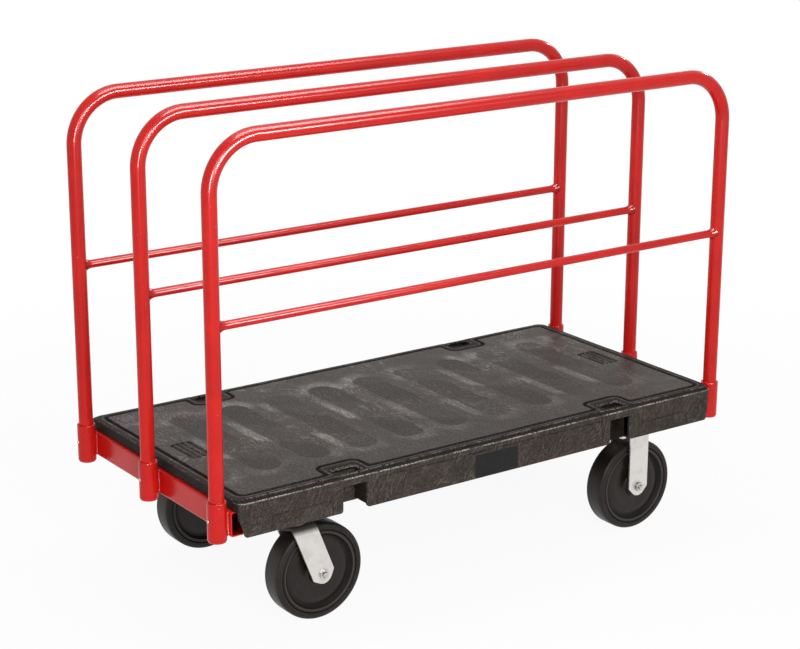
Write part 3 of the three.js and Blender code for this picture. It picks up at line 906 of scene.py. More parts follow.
        # Brownish patches of painted reflection of the red hoops, placed by a noise.
        reflection_patches = graph.noise(graph.where, 3.6).eased(0.44, 0.62)
        shade_and_seams = (ends, lines * side * broken.eased(0.0, 0.6, 1.0, 0.35))
        top = self._top(graph, streaks, lozenge, reflection_patches)
        # The pale patches: partly flow marks, partly painted sheen.
        top = graph.mix(pale_flow_and_sheen * (streaks * 0.75 + strokes * 0.45 + 0.32), top, self.pale)
        colour = graph.mix(upper, self._skirt(graph, strokes, shade_and_seams, reflection_patches), top)
        calm = upper.eased(0.0, 1.0, 0.35, 1.0)
        colour = graph.mix(graph.grain.eased(0.45, 0.62, 0.0, 0.22) * calm, colour, self.pale)
        colour = graph.mix(graph.grain.eased(0.44, 0.32, 0.0, 0.46) * calm, colour, self.grime_and_shade)
        # Painted shade where the mesh is marked low: grooves, ledges, pads, pockets and slot walls.
        colour = graph.mix(groove * 0.85, colour, self.grime_and_shade)
        # Painted highlights on the marked edges.
        colour = graph.mix(painted_light * 0.8, colour, self.edge_highlight)
        gloss = graph.grain.eased(0.3, 0.7, 0.41, 0.55) + lozenge * 0.09 + groove * 0.30 - painted_light * 0.10
        relief = graph.grain + strokes * (side * 0.8) + streaks * (upper * 1.7)
        level = faces * side + lozenge * upper * -0.4
        normal = graph.bump(level, self.deep_relief, Normal=graph.bump(relief, self.fine_relief))
        return colour, gloss + side * 0.21, normal


@dataclass(frozen=True)
class BrightZinc(Finish):
    """Bright zinc plate: pale metal with cloudy patches and fine rolling lines."""

    name: str = "bright_zinc_plate"
    metallic: float = 0.85
    patch_scale: float = 38.0
    grain_scale: float = 900.0
    body: Seen = (222, 218, 213)
    dull: Seen = (208, 204, 199)
    unlit: Seen = (44, 41, 38)
    relief: float = 0.00003

    def look(self, graph: FinishGraph) -> Look:
        """Duller patches, the unlit tone as painted shade where the mesh is marked, and lines drawn out
        upwards.

        Args:
            graph: The material's graph.

        Returns:
            The colour, the roughness and the normal.
        """
        hollow = graph.attribute("hollow")
        rolling = graph.noise(graph.mapped(graph.where, (1.0, 1.0, 0.04)), 1500.0)
        colour = graph.mix(graph.patches.eased(0.42, 0.72), self.body, self.dull)
        gloss = graph.patches.eased(0.3, 0.7, 0.34, 0.46) + hollow * 0.3
        normal = graph.bump(rolling + graph.grain * 0.8, self.relief)
        # Painted shade: the unlit tone on the marked crown and race under the platform.
        return graph.mix(hollow, colour, self.unlit), gloss, normal


@dataclass(frozen=True)
class BoltSteel(Finish):
    """Plated fastener steel, a little darker and glossier than the sheet parts."""

    name: str = "fastener_steel"
    metallic: float = 0.95
    patch_scale: float = 160.0
    grain_scale: float = 1400.0
    body: Seen = (212, 208, 203)
    dull: Seen = (152, 148, 144)
    unlit: Seen = (26, 25, 24)
    relief: float = 0.00002

    def look(self, graph: FinishGraph) -> Look:
        """Duller patches, and the unlit tone as painted shade in the seams and thread roots.

        Args:
            graph: The material's graph.

        Returns:
            The colour, the roughness and the normal.
        """
        colour = graph.mix(graph.patches.eased(0.4, 0.75), self.body, self.dull)
        # Painted shade in the seams and thread roots.
        colour = graph.mix(graph.attribute("hollow"), colour, self.unlit)
        return colour, graph.patches.eased(0.3, 0.7, 0.18, 0.32), graph.bump(graph.grain, self.relief)


@dataclass(frozen=True)
class WheelBlack(Finish):
    """Black wheel stock with faint turned rings, which follow the distance from the axle, and light dust."""

    name: str = "wheel_black"
    specular: float = 0.28
    patch_scale: float = 55.0
    grain_scale: float = 1100.0
    body: Seen = (27, 21, 18)
    pale: Seen = (48, 39, 33)
    unlit: Seen = (7, 6, 5)
    painted_highlight: Seen = (104, 96, 90)
    gloss: Run = (0.28, 0.42)
    ring_scale: float = 900.0
    relief: float = 0.00007

    def look(self, graph: FinishGraph) -> Look:
        """Dust in soft patches, painted shade in the groove, a painted highlight on the lip, and the rings.

        Args:
            graph: The material's graph.

        Returns:
            The colour, the roughness and the normal.
        """
        feeds = {"W": graph.attribute("reach"), "Scale": self.ring_scale, "Detail": 3.0}
        rings = graph.value("ShaderNodeTexNoise", feeds, noise_dimensions="1D")
        hollow = graph.attribute("hollow")
        dust = graph.patches.eased(0.40, 0.80) * graph.grain.eased(0.3, 0.8, 0.3, 0.8)
        # Painted shade in the groove, then a painted highlight on the lip.
        colour = graph.mix(hollow, graph.mix(dust, self.body, self.pale), self.unlit)
        colour = graph.mix(graph.attribute("edge"), colour, self.painted_highlight)
        roughness = rings.eased(0.3, 0.7, *self.gloss) + hollow * 0.45
        return colour, roughness, graph.bump(rings * 0.8 + graph.grain * 0.5, self.relief)


@dataclass(frozen=True)
class LabelFace(Finish):
    """A bare dark plate, a little clouded by handling, with nothing printed on it."""

    name: str = "label_print"
    specular: float = 0.25
    patch_scale: float = 90.0
    grain_scale: float = 1500.0
    ground: Seen = (11, 10, 10)
    handled: Seen = (22, 20, 19)
    relief: float = 0.00002

    def look(self, graph: FinishGraph) -> Look:
        """The dark ground with slightly paler patches.

        Args:
            graph: The material's graph.

        Returns:
            The colour, the roughness and the normal.
        """
        colour = graph.mix(graph.patches.eased(0.3, 0.8), self.ground, self.handled)
        return colour, graph.patches.eased(0.3, 0.7, 0.30, 0.40), graph.bump(graph.grain, self.relief)


class Workshop:
    """Holds the finishes and places each finished piece on its body."""

    def __init__(self, painted: bpy.types.Collection) -> None:
        """Builds every finish once.

        Args:
            painted: Gathers the painted pieces, for the lamps that only they mirror.
        """
        self.painted = painted
        effects = SharedEffects()
        tread = WheelBlack(
            "tyre_black", body=(25, 20, 17), pale=(52, 42, 36), gloss=(0.40, 0.54), ring_scale=1500.0
        )
        finishes = {
            Slot.RED_PAINT: RedPowderCoat(),
            Slot.DECK_PLASTIC: MouldedPlastic(),
            Slot.LABEL_FACE: LabelFace(),
            Slot.BRIGHT_ZINC: BrightZinc(),
            Slot.BOLT_STEEL: BoltSteel(),
            Slot.TYRE_RUBBER: tread,
            Slot.WHEEL_PLASTIC: WheelBlack(),
        }
        self.materials = {slot: finish.material(effects) for slot, finish in finishes.items()}

    def place(self, skin: Skin, name: str, slot: Slot, body: str, *nodes: str) -> None:
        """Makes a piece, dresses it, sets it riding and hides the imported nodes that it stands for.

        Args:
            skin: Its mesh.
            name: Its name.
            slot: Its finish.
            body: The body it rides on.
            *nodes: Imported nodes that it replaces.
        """
        piece = skin.object(name)
        piece.data.materials.append(self.materials[slot])
        if slot is Slot.RED_PAINT:
            self.painted.objects.link(piece)
        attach(piece, body)
        if nodes:
            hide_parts(*nodes)
        LOG.info("%s: %d faces on %s", piece.name, len(piece.data.polygons), body)


def grid_lines(*runs: Corner) -> Array:
    """Grid lines on both sides of zero, from runs on the positive side.

    Args:
        *runs: Each run's start, end and greatest spacing.

    Returns:
        The lines in order.
    """
    parts = [np.linspace(a, b, max(1, math.ceil((b - a) / step - WELD)) + 1) for a, b, step in runs]
    half = np.unique(np.round(np.concatenate(parts), 6))
    return np.unique(np.concatenate([-half, half]))


def round_share(u: Array, v: Array) -> Array:
    """How far a place at shares u and v of a square corner moves in, so that the outer sides turn round."""
    return np.maximum(u, v) / np.maximum(np.hypot(u, v), 1e-9)


@dataclass
class Platform:
    """The moulded platform: top, skirts, slots and the ribs below."""

    QUARTERS = ((-1, -1), (-1, 1), (1, -1), (1, 1))
    CLOSE = np.array([0.0004, 0.0012, 0.0024, 0.0042])

    edge_round: float = 0.0016
    corner: float = 0.018
    wall: float = 0.009
    draft: float = 0.0003
    stagger: float = 0.0003
    ledge_width: float = 0.0108
    ledge_drop: float = 0.0056
    ledge_run: Run = (-0.0010, 0.0012)
    crown_run: Run = (-0.0050, -0.0005)
    crown_drop: float = 0.0007
    rim_corner: float = 0.020
    groove_end_inset: float = 0.0229
    groove_side_inset: float = 0.0298
    groove_depth: float = 0.0045
    panel_corner: float = 0.012
    bead_crest: float = 0.0112
    jog_half: float = 0.052
    jog_reach: float = 0.048
    jog_corner: float = 0.022
    jog_foot: float = 0.010
    slot_centre: float = 0.343
    slot_half: float = 0.029
    slot_inset: float = 0.0168
    slot_width: float = 0.031
    slot_corner: float = 0.005
    slot_lip: float = 0.0024
    slot_ring_depth: float = 0.0017
    notch_drop: float = 0.022
    lip_height: float = 0.024
    slant: float = 0.0126
    slant_drop: float = 0.028
    foot_round: float = 0.008
    pad_centre: float = 0.538
    pad_half_x: float = 0.024
    pad_half_y: float = 0.048
    pad_rib_pitch: float = 0.0120
    pad_rib_height: float = 0.0026
    pad_sink: float = 0.0030
    pad_line_depth: float = 0.0012
    wave_height: float = 0.00022
    close_by: float = 0.005
    close_run: float = 0.030
    slot_close_run: float = 0.006
    pad_close_run: float = 0.004
    end_close_run: float = 0.028
    end_recess: float = 0.025
    rib_wall: float = 0.006
    rib_pitch_along: float = 0.115
    rib_pitch_across: float = 0.118
    rib_lift: float = 0.0053
    rib_overlap: float = 0.002
    boss_radius: float = 0.012
    bar_corner: float = 0.0012
    bar_edge: float = 0.0008
    pocket_shade: float = 0.8
    pocket_lift: float = 0.0004
    pocket_apron: float = 0.0225
    pocket_split: float = 0.0085
    apron_start: float = 0.021
    apron_wall: float = 0.0025
    apron_height: float = 0.019
    half_x: float = field(init=False)
    half_y: float = field(init=False)
    top: float = field(init=False)
    base: float = field(init=False)
    slot_low: float = field(init=False)
    slot_high: float = field(init=False)
    slot_near: float = field(init=False)
    slot_far: float = field(init=False)
    slot_middle: float = field(init=False)

    def __post_init__(self) -> None:
        """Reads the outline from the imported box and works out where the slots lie."""
        space = Space.of("deck")
        self.half_x, self.half_y, self.top = space.high
        self.base = space.low[2]
        self.slot_low, self.slot_high = self.slot_centre - self.slot_half, self.slot_centre + self.slot_half
        self.slot_far = self.half_y - self.slot_inset
        self.slot_near = self.slot_far - self.slot_width
        self.slot_middle = (self.slot_near + self.slot_far) / 2

    def lines_x(self) -> Array:
        """Grid lines along X: close by the slots, ribbed pads and ends, wide elsewhere."""
        low, high, run, inner = self.slot_low, self.slot_high, self.close_run, self.slot_close_run
        border = self.half_x - self.edge_round
        lines = grid_lines(
            (0.0, low - run, 0.0095),
            (low - run, low - self.close_by, 0.0016),
            (low, low + inner, 0.0012),
            (low + inner, high - inner, 0.0040),
            (high - inner, high, 0.0012),
            (high + self.close_by, high + run, 0.0016),
            (high + run, self.pad_centre - run, 0.0098),
            (self.pad_centre - run, self.pad_centre + run, 0.0016),
            (self.pad_centre + run, border - self.end_close_run, 0.0060),
            (border - self.end_close_run, border, 0.0013),
        )
        close = np.concatenate([low - self.CLOSE, high + self.CLOSE])
        return np.unique(np.round(np.concatenate([lines, close, -close]), 6))

    def lines_y(self) -> Array:
        """Grid lines along Y: close by the pads, grooves, slots and ledges, wide elsewhere."""
        near, far, pad, inner = self.slot_near, self.slot_far, self.pad_half_y, self.slot_close_run
        step = self.half_y - self.ledge_width
        groove = near - self.close_run - self.pad_close_run
        lines = grid_lines(
            (0.0, pad - self.pad_close_run, 0.0060),
            (pad - self.pad_close_run, pad + self.pad_close_run, 0.0016),
            (pad + self.pad_close_run, groove, 0.0098),
            (groove, near - self.close_by, 0.0016),
            (near, near + inner, 0.0012),
            (near + inner, far - inner, 0.0022),
            (far - inner, far, 0.0012),
            (far + 0.0044, step - 0.0012, 0.0008),
            (step - 0.0008, step + 0.0020, 0.0005),
            (step + 0.0024, self.half_y - self.edge_round, 0.0013),
        )
        close = np.concatenate([near - self.CLOSE, far + self.CLOSE])
        close = close[close < step - 0.0008]
        return np.unique(np.round(np.concatenate([lines, close, -close]), 6))

    def rounded_plan(self, x: Array, y: Array) -> tuple[Array, Array]:
        """Bends the grid's square corners to the platform's round ones.

        In a corner square, a point at shares u and v of the side moves to (u, v) times the greater of the two
        over their hypotenuse, which takes the square's two outer sides to a quarter circle.

        Args:
            x: Places along X.
            y: Places along Y.

        Returns:
            The bent places.
        """
        radius = self.corner - self.edge_round
        centre_x, centre_y = self.half_x - self.corner, self.half_y - self.corner
        u = np.maximum((np.abs(x) - centre_x) / radius, 0)
        v = np.maximum((np.abs(y) - centre_y) / radius, 0)
        share = round_share(u, v)
        both = (u > 0) & (v > 0)
        bent_x = np.where(both, np.sign(x) * (centre_x + u * share * radius), x)
        return bent_x, np.where(both, np.sign(y) * (centre_y + v * share * radius), y)

    def rounded_slots(self, x: Array, y: Array) -> tuple[Array, Array]:
        """Bends the grid round the slots' corners in the same way, easing off away from them.

        Args:
            x: Places along X.
            y: Places along Y.

        Returns:
            The bent places.
        """
        radius = self.slot_corner
        inner_x, inner_y = self.slot_half - radius, self.slot_width / 2 - radius
        along, across = np.abs(x) - self.slot_centre, np.abs(y) - self.slot_middle
        u = np.maximum((np.abs(along) - inner_x) / radius, 0)
        v = np.maximum((np.abs(across) - inner_y) / radius, 0)
        fade = 1 - eased(np.maximum(u, v), 1.0, 1.9)
        share = np.where((u > 0) & (v > 0), 1 + (round_share(u, v) - 1) * fade, 1.0)
        along = np.where(u > 0, np.sign(along) * (inner_x + u * share * radius), along)
        across = np.where(v > 0, np.sign(across) * (inner_y + v * share * radius), across)
        return np.sign(x) * (self.slot_centre + along), np.sign(y) * (self.slot_middle + across)

    def panel_distance(self, x: Array, y: Array) -> Array:
        """Distance to the flat panel's outline: a rounded rectangle less a rounded box about each slot.

        The two are joined by a smooth maximum, so the outline flares where the boxes cut its long sides.

        Args:
            x: Places along X.
            y: Places along Y.

        Returns:
            The distance, below zero on the panel.
        """
        edge_y, foot = self.half_y - self.groove_side_inset, self.jog_foot
        whole = box_distance(x, y, self.half_x - self.groove_end_inset, edge_y, self.panel_corner)
        along, across = np.abs(x) - self.slot_centre, np.abs(y) - edge_y
        clear = -box_distance(along, across, self.jog_half, self.jog_reach, self.jog_corner)
        overlap = np.maximum(foot - np.abs(whole - clear), 0) / foot
        return np.maximum(whole, clear) + overlap * overlap * foot / 4

    def slot_distance(self, x: Array, y: Array) -> Array:
        """Distance to the nearest slot's edge, above zero on the platform."""
        along, across = np.abs(x) - self.slot_centre, np.abs(y) - self.slot_middle
        return box_distance(along, across, self.slot_half, self.slot_width / 2, self.slot_corner)

    def rim_distance(self, x: Array, y: Array) -> Array:
        """Distance to the step of the ledges, below zero inside it."""
        return box_distance(x, y, self.half_x, self.half_y - self.ledge_width, self.rim_corner)

    def slot_ring(self, slot: Array, rim: Array) -> Array:
        """How deep the thin groove round a slot is, 0 to 1, by the distances from the slot and the ledge."""
        ring = eased(slot, 0.0024, 0.0044) * (1 - eased(slot, 0.0056, 0.0080))
        return ring * (1 - eased(rim, *self.ledge_run))

    def pad(self, x: Array, y: Array) -> tuple[Array, Array, Array]:
        """The ribbed pads at the ends.

        Args:
            x: Places along X.
            y: Places along Y.

        Returns:
            Whether a place is inside, its rib's height and how near the outline is, all from 0 to 1.
        """
        along = np.abs(x) - self.pad_centre
        distance = box_distance(along, y, self.pad_half_x, self.pad_half_y, 0.006)
        ribs = 0.5 + 0.5 * np.cos(along / self.pad_rib_pitch * FULL_TURN)
        return 1 - eased(distance, -0.0016, 0.0004), ribs, eased(np.abs(distance + 0.0016), 0.0024, 0.0006)

    def relief(self, x: Array, y: Array) -> Array:
        """Height above the top level: groove, bead, ledge, slot lips, ribbed pads and slow waves.

        The groove is steep on the panel's side and slow on the outer side. A slot's lip is a quarter circle.

        Args:
            x: Places along X.
            y: Places along Y.

        Returns:
            The heights, nearly all at or below zero.
        """
        panel, rim, slot = self.panel_distance(x, y), self.rim_distance(x, y), self.slot_distance(x, y)
        groove = eased(panel, -0.0012, 0.0022) * (1 - eased(panel, 0.0034, 0.0082))
        ledge = eased(rim, *self.ledge_run)
        crown = eased(rim, *self.crown_run) * self.crown_drop * (1 - ledge)
        lip = np.clip(1 - slot / self.slot_lip, 0, 1)
        lip_drop = self.slot_lip * (1 - np.sqrt(1 - lip * lip))
        inside, ribs, line = self.pad(x, y)
        pads = inside * (ribs * self.pad_rib_height - self.pad_sink) - line * self.pad_line_depth
        waves = self.wave_height * (np.sin(x * 23.0 + y * 9.0) + np.sin(y * 31.0 - x * 7.0) - 2)
        height = -self.groove_depth * groove - self.ledge_drop * ledge - crown - lip_drop
        return height - self.slot_ring_depth * self.slot_ring(slot, rim) + pads + waves

    def painted_light(self, x: Array, y: Array) -> dict[str, Array]:
        """The marks that the finish reads on the top: painted highlights on the edges, and painted shade where
        it is low.

        Args:
            x: Places along X.
            y: Places along Y.

        Returns:
            The marks by name.
        """
        panel, rim, slot = self.panel_distance(x, y), self.rim_distance(x, y), self.slot_distance(x, y)
        # Painted highlights on the bead's crest, the ledge's step and the slots' lips.
        crest = eased(np.abs(panel - self.bead_crest), 0.0022, 0.0004)
        ledge_highlight = (1 - eased(np.abs(rim + 0.0012), 0.0, 0.0016)) * 0.45
        lip = (1 - eased(np.abs(slot - 0.0006), 0.0, 0.0012)) * 0.5
        inside, ribs, line = self.pad(x, y)
        # Painted shade: in the groove, the ring round each slot, the ledge, between the pads' ribs, round the
        # pads and on the rim beside the bead's lit crest.
        grime_and_shade = (
            eased(panel, -0.0030, 0.0) * (1 - eased(panel, 0.0052, 0.0090)),
            self.slot_ring(slot, rim) * 0.9,
            eased(rim, 0.0004, 0.0018) * 0.60,
            inside * (1 - ribs) * 0.75,
            line * 0.9,
            eased(panel, 0.0, 0.0020) * (0.72 - 0.42 * crest),
        )
        return {"edge": np.maximum.reduce([ledge_highlight, lip, crest * 0.16]), "groove": np.maximum.reduce(grime_and_shade)}

    def lower_edge(self, x: Array, y: Array) -> Array:
        """Height of the wall's lower edge under each place of the outline.

        It steps up over the notches, slants up where the skirts end and stays at the lip across the ends.

        Args:
            x: Places along X.
            y: Places along Y.

        Returns:
            The heights.
        """
        low, roof, foot = self.slot_low, self.top - self.notch_drop, self.half_x - self.slant
        notch_rise = ((-0.0042, 0.0), (-0.0024, 0.0006), (-0.0012, 0.0018), (-0.0004, 0.0040))
        starts = [(low + shift, self.base + rise) for shift, rise in notch_rise]
        starts += [(low, roof - 0.004), (low + 0.0012, roof - 0.0014), (low + 0.0036, roof)]
        ends = [(low + self.slot_high - place, level) for place, level in reversed(starts)]
        swing = np.linspace(0, QUARTER_TURN, 6)
        bend = (foot, self.base) + self.foot_round * np.stack([np.sin(swing) - 1, 1 - np.cos(swing)], axis=1)
        tip = (self.half_x, self.top - self.slant_drop)
        points = np.array([(0.0, self.base), *starts, *ends, *bend, tip])
        skirt = np.interp(np.abs(x), points[:, 0], points[:, 1])
        return np.where(np.abs(y) > self.half_y - self.wall, skirt, self.top - self.lip_height)

    def outward(self, places: Array) -> Array:
        """The direction out of the outline: away from the nearest corner's centre, or square to the side.

        Args:
            places: Places on the outline.

        Returns:
            A direction for each.
        """
        centres = np.array([self.half_x, self.half_y]) - self.corner
        over = np.maximum(np.abs(places) - centres, 0) * np.sign(places)
        return over / np.maximum(np.linalg.norm(over, axis=1, keepdims=True), 1e-9)

    def shell(self) -> Skin:
        """The top, the skirts down to their lower edge, the inner wall and the slots' walls.

        The top is a height over a plan grid. Its border is carried down as a profile, row by row: round the
        edge, down the face, round the lower edge and up the inner wall.

        Returns:
            The skin.
        """
        columns, rows = self.lines_x(), self.lines_y()
        x, y = self.rounded_plan(*self.rounded_slots(*np.meshgrid(columns, rows)))
        top = np.stack([x, y, self.top + self.relief(x, y)], axis=-1)
        middle_x = np.abs((columns[:-1] + columns[1:]) / 2)
        middle_y = np.abs((rows[:-1] + rows[1:]) / 2)
        in_x = np.abs(middle_x - self.slot_centre) < self.slot_half
        in_y = (middle_y > self.slot_near) & (middle_y < self.slot_far)
        skin = Skin(outward=False)
        skin.grid(top, around=False, keep=~(in_y[:, None] & in_x), upper=1.0, **self.painted_light(x, y))
        self._skirts(skin, border_of(top))
        for sign_x, sign_y in self.QUARTERS:
            in_x = np.abs(columns * sign_x - self.slot_centre) < self.slot_half + 10 * WELD
            in_y = np.abs(rows * sign_y - self.slot_middle) < self.slot_width / 2 + 10 * WELD
            self._slot_wall(skin, border_of(top[np.ix_(in_y, in_x)]))
        return skin

    def _skirts(self, skin: Skin, loop: Array) -> None:
        """Carries the border of the top down, as the shell's docstring says.

        Args:
            skin: Takes the skirts.
            loop: The border.
        """
        out = self.outward(loop[:, :2])
        face = loop[:, :2] + out * self.edge_round
        lower = self.lower_edge(*face.T)
        swing = np.linspace(0, QUARTER_TURN, 4)
        bends = self.edge_round * np.stack([1 - np.sin(swing), 1 - np.cos(swing)], axis=1)
        shares = np.array([0.0, 0.12, 0.35, 0.6, 0.85, 1.0])
        # Painted highlights on the rows round the top edge, and a weaker one round the lower edge.
        painted_highlight = zip(bends, (0.6, 0.95, 0.95, 0.95), strict=True)
        stations = [(inset, loop[:, 2] - drop, mark) for (inset, drop), mark in painted_highlight]
        start, end = stations[-1][1] - 0.0010, lower + self.edge_round
        stations += [(self.draft * share, start + (end - start) * share, 0.0) for share in shares]
        stations += [(self.draft + inset, lower + rise, 0.25) for rise, inset in bends[1:]]
        stations += [(self.wall - 0.0010, lower, 0.0), (self.wall, lower + 0.0010, 0.0)]
        stations.append((self.wall, np.full_like(lower, self.top - self.wall), 0.0))
        insets, levels, marks = (np.array(column) for column in zip(*stations, strict=True))
        rows = np.concatenate([face - out * insets[:, None, None], levels[..., None]], axis=-1)
        skin.grid(rows, flip=True, edge=marks[:, None])

    def _slot_wall(self, skin: Skin, loop: Array) -> None:
        """Drops the edge of a slot down to the underside of the top, past a painted glint where it leaves the
        lip, with painted shade below.

        Args:
            skin: Takes the wall.
            loop: The slot's edge.
        """
        below = np.repeat(loop[None], 5, axis=0)
        drops = np.array([0.0036, 0.0044, 0.0050, self.wall])
        below[1:, :, 2] = (self.top - drops)[:, None]
        # A painted glint on one row of the wall and painted shade on the rows under it.
        glint, shade = np.array([[0.2, 0.2, 1.0, 0.0, 0.0], [0.3, 0.5, 0.0, 1.0, 1.0]])[..., None]
        skin.grid(below, edge=glint, groove=shade)

    def underside(self) -> Skin:
        """The plate under the top, the ribs, the end walls, the slots' pockets and the bolt bosses."""
        inner_x, inner_y = self.half_x - self.wall / 2, self.half_y - self.wall / 2
        side_x = np.array([self.slot_low, self.slot_high, inner_x])
        side_y = np.array([self.slot_near, self.slot_far, inner_y])
        x, y = np.meshgrid(*(np.concatenate([-side[::-1], side]) for side in (side_x, side_y)))
        keep = np.ones((5, 5), dtype=bool)
        keep[1::2, 1::2] = False
        plate = np.stack([x, y, np.full_like(x, self.top - self.wall)], axis=-1)
        skin = Skin(outward=False)
        skin.grid(plate, around=False, flip=True, keep=keep)
        floor, roof = self.base + self.rib_lift, self.top - self.wall + self.rib_overlap
        self._ribs(skin, floor, roof)
        self._pockets(skin, floor, roof)
        for row in ("front", "rear"):
            for end in ENDS:
                for bolt in bolt_places(f"{row}_{end}"):
                    ring = ring_of(20, self.boss_radius) + bolt
                    skin.grid(slab(ring, floor - self.stagger, roof, self.bar_edge))
        return skin

    def _bar(self, skin: Skin, run_x: Run, run_y: Run, levels: Run, shade: float = 0.0) -> None:
        """Adds a wall with eased edges.

        Args:
            skin: Takes the wall.
            run_x: Its ends along X, in either order.
            run_y: Its ends along Y, in either order.
            levels: Its lower and upper end.
            shade: How much painted shade it takes, as a share.
        """
        half = np.ptp([run_x, run_y], axis=1) / 2
        outline = rounded_rectangle(*half, self.bar_corner, steps=2) + (sum(run_x) / 2, sum(run_y) / 2)
        skin.grid(slab(outline, *levels, self.bar_edge, steps=2), groove=shade)

    def _ribs(self, skin: Skin, floor: float, roof: float) -> None:
        """Adds the ribs both ways and the walls behind the beams.

        Args:
            skin: Takes the walls.
            floor: Height of their lower edge.
            roof: Height of their upper end.
        """
        half_y, half, end = self.half_y - self.wall * 0.6, self.rib_wall / 2, self.half_x - self.end_recess
        reach = end - self.wall / 2
        across = math.floor(reach / self.rib_pitch_along - 0.5) + 1
        for x in (np.arange(-across, across) + 0.5) * self.rib_pitch_along:
            self._bar(skin, (x - half, x + half), (-half_y, half_y), (floor, roof))
        along = math.floor(self.slot_near / self.rib_pitch_across - 0.5) + 1
        for y in (np.arange(-along, along) + 0.5) * self.rib_pitch_across:
            self._bar(skin, (-reach, reach), (y - half, y + half), (floor + self.stagger, roof))
        for sign in (-1, 1):
            levels = (floor + 2 * self.stagger, roof)
            self._bar(skin, (sign * end, sign * (end - self.wall)), (-half_y, half_y), levels)

    def _pockets(self, skin: Skin, floor: float, roof: float) -> None:
        """Adds the walls of the pocket under each slot, which its notch opens to the side, most of them in
        painted shade.

        Args:
            skin: Takes the walls.
            floor: Height of the ribs' lower edge.
            roof: Height of their upper end.
        """
        wall, shade, foot = self.rib_wall, self.pocket_shade, self.base + self.pocket_lift
        reach = self.slot_half + wall
        for sign_x, sign_y in self.QUARTERS:
            centre = sign_x * self.slot_centre
            back, near = sign_y * (self.slot_near - wall), sign_y * self.slot_near
            far, apron = sign_y * (self.half_y - self.wall * 0.6), sign_y * (self.half_y - self.pocket_apron)
            for x in (centre - reach, centre + self.slot_half):
                self._bar(skin, (x, x + wall), (back, far), (floor, roof), shade)
            low, high = centre - reach + self.stagger, centre + reach - self.stagger
            raised = (floor + 3 * self.stagger, roof)
            if sign_x > 0:
                self._bar(skin, (low, high), (back, near), raised, shade)
                # In the right-hand notches a fully dark apron stands in for the shade there.
                front = (apron, apron + sign_y * self.apron_wall)
                across = (centre - self.apron_start, centre + reach)
                self._bar(skin, across, front, (foot, self.base + self.apron_height), 1.0)
            else:
                split = low + self.pocket_split + wall
                self._bar(skin, (low, split), (back, near), raised)
                self._bar(skin, (split, high), (back, near), (foot, roof))
            side = (sign_x * self.slot_high, sign_x * (self.slot_high + wall))
            self._bar(skin, side, (sign_y * (self.half_y - self.wall), apron), (foot, roof), shade)

    def build(self, shop: Workshop) -> None:
        """Makes and places the platform's pieces and the label, a slab whose face looks along -Y.

        Args:
            shop: Where the pieces are finished.
        """
        shop.place(self.shell(), "platform_shell", Slot.DECK_PLASTIC, "platform", "deck")
        shop.place(self.underside(), "platform_ribs", Slot.DECK_PLASTIC, "platform")
        space = Space.of("label_plate")
        outline = rounded_rectangle(space.half[2], space.half[0], 0.004)
        centre = (space.middle[0], space.low[1], space.middle[2])
        label = Skin.of(stood(slab(outline, 0.0, space.size[1], 0.0004), Axis.Y, centre))
        shop.place(label, "label_badge", Slot.LABEL_FACE, "platform", "label_plate")


def bolt_places(place: str) -> list[Run]:
    """The four mounting bolts of a caster, from the box of its top plate.

    Args:
        place: Which caster.

    Returns:
        The bolts' places in plan.
    """
    space = Space.of(f"caster_plate_{place}")
    inset = np.array([0.0162, 0.0163, 0.0])
    low, high = space.low + inset, space.high - inset
    return [(x, y) for x in (low[0], high[0]) for y in (low[1], high[1])]


def bead(start: Sequence[float], end: Sequence[float], radius: float, across: Sequence[float]) -> Array:
    """A weld bead between two points: a round section that swells with each ripple and tapers at its ends.

    Args:
        start: Where it starts.
        end: Where it ends.
        radius: Its mean radius.
        across: A direction it never runs along.

    Returns:
        A closed grid.
    """
    step, short_wave, long_wave = 0.0007, 0.0026, 0.011
    run = np.array(end) - start
    length = np.linalg.norm(run)
    share = np.linspace(0, 1, max(12, int(length / step)))
    turn = share * length * FULL_TURN
    ripple = 1 + 0.10 * np.cos(turn / short_wave) + 0.06 * np.cos(turn / long_wave)
    from_end = np.clip(np.minimum(share, 1 - share) * length / (radius * 1.4), 0, 1)
    taper = np.sqrt(1 - (1 - from_end) ** 2)
    return swept(start + share[:, None] * run, radius * ripple * taper, 12, across)


def sign_of(side: str) -> int:
    """1 for the right end and the rear row, and -1 for the left end and the front row."""
    return 1 if side in ("right", "rear") else -1


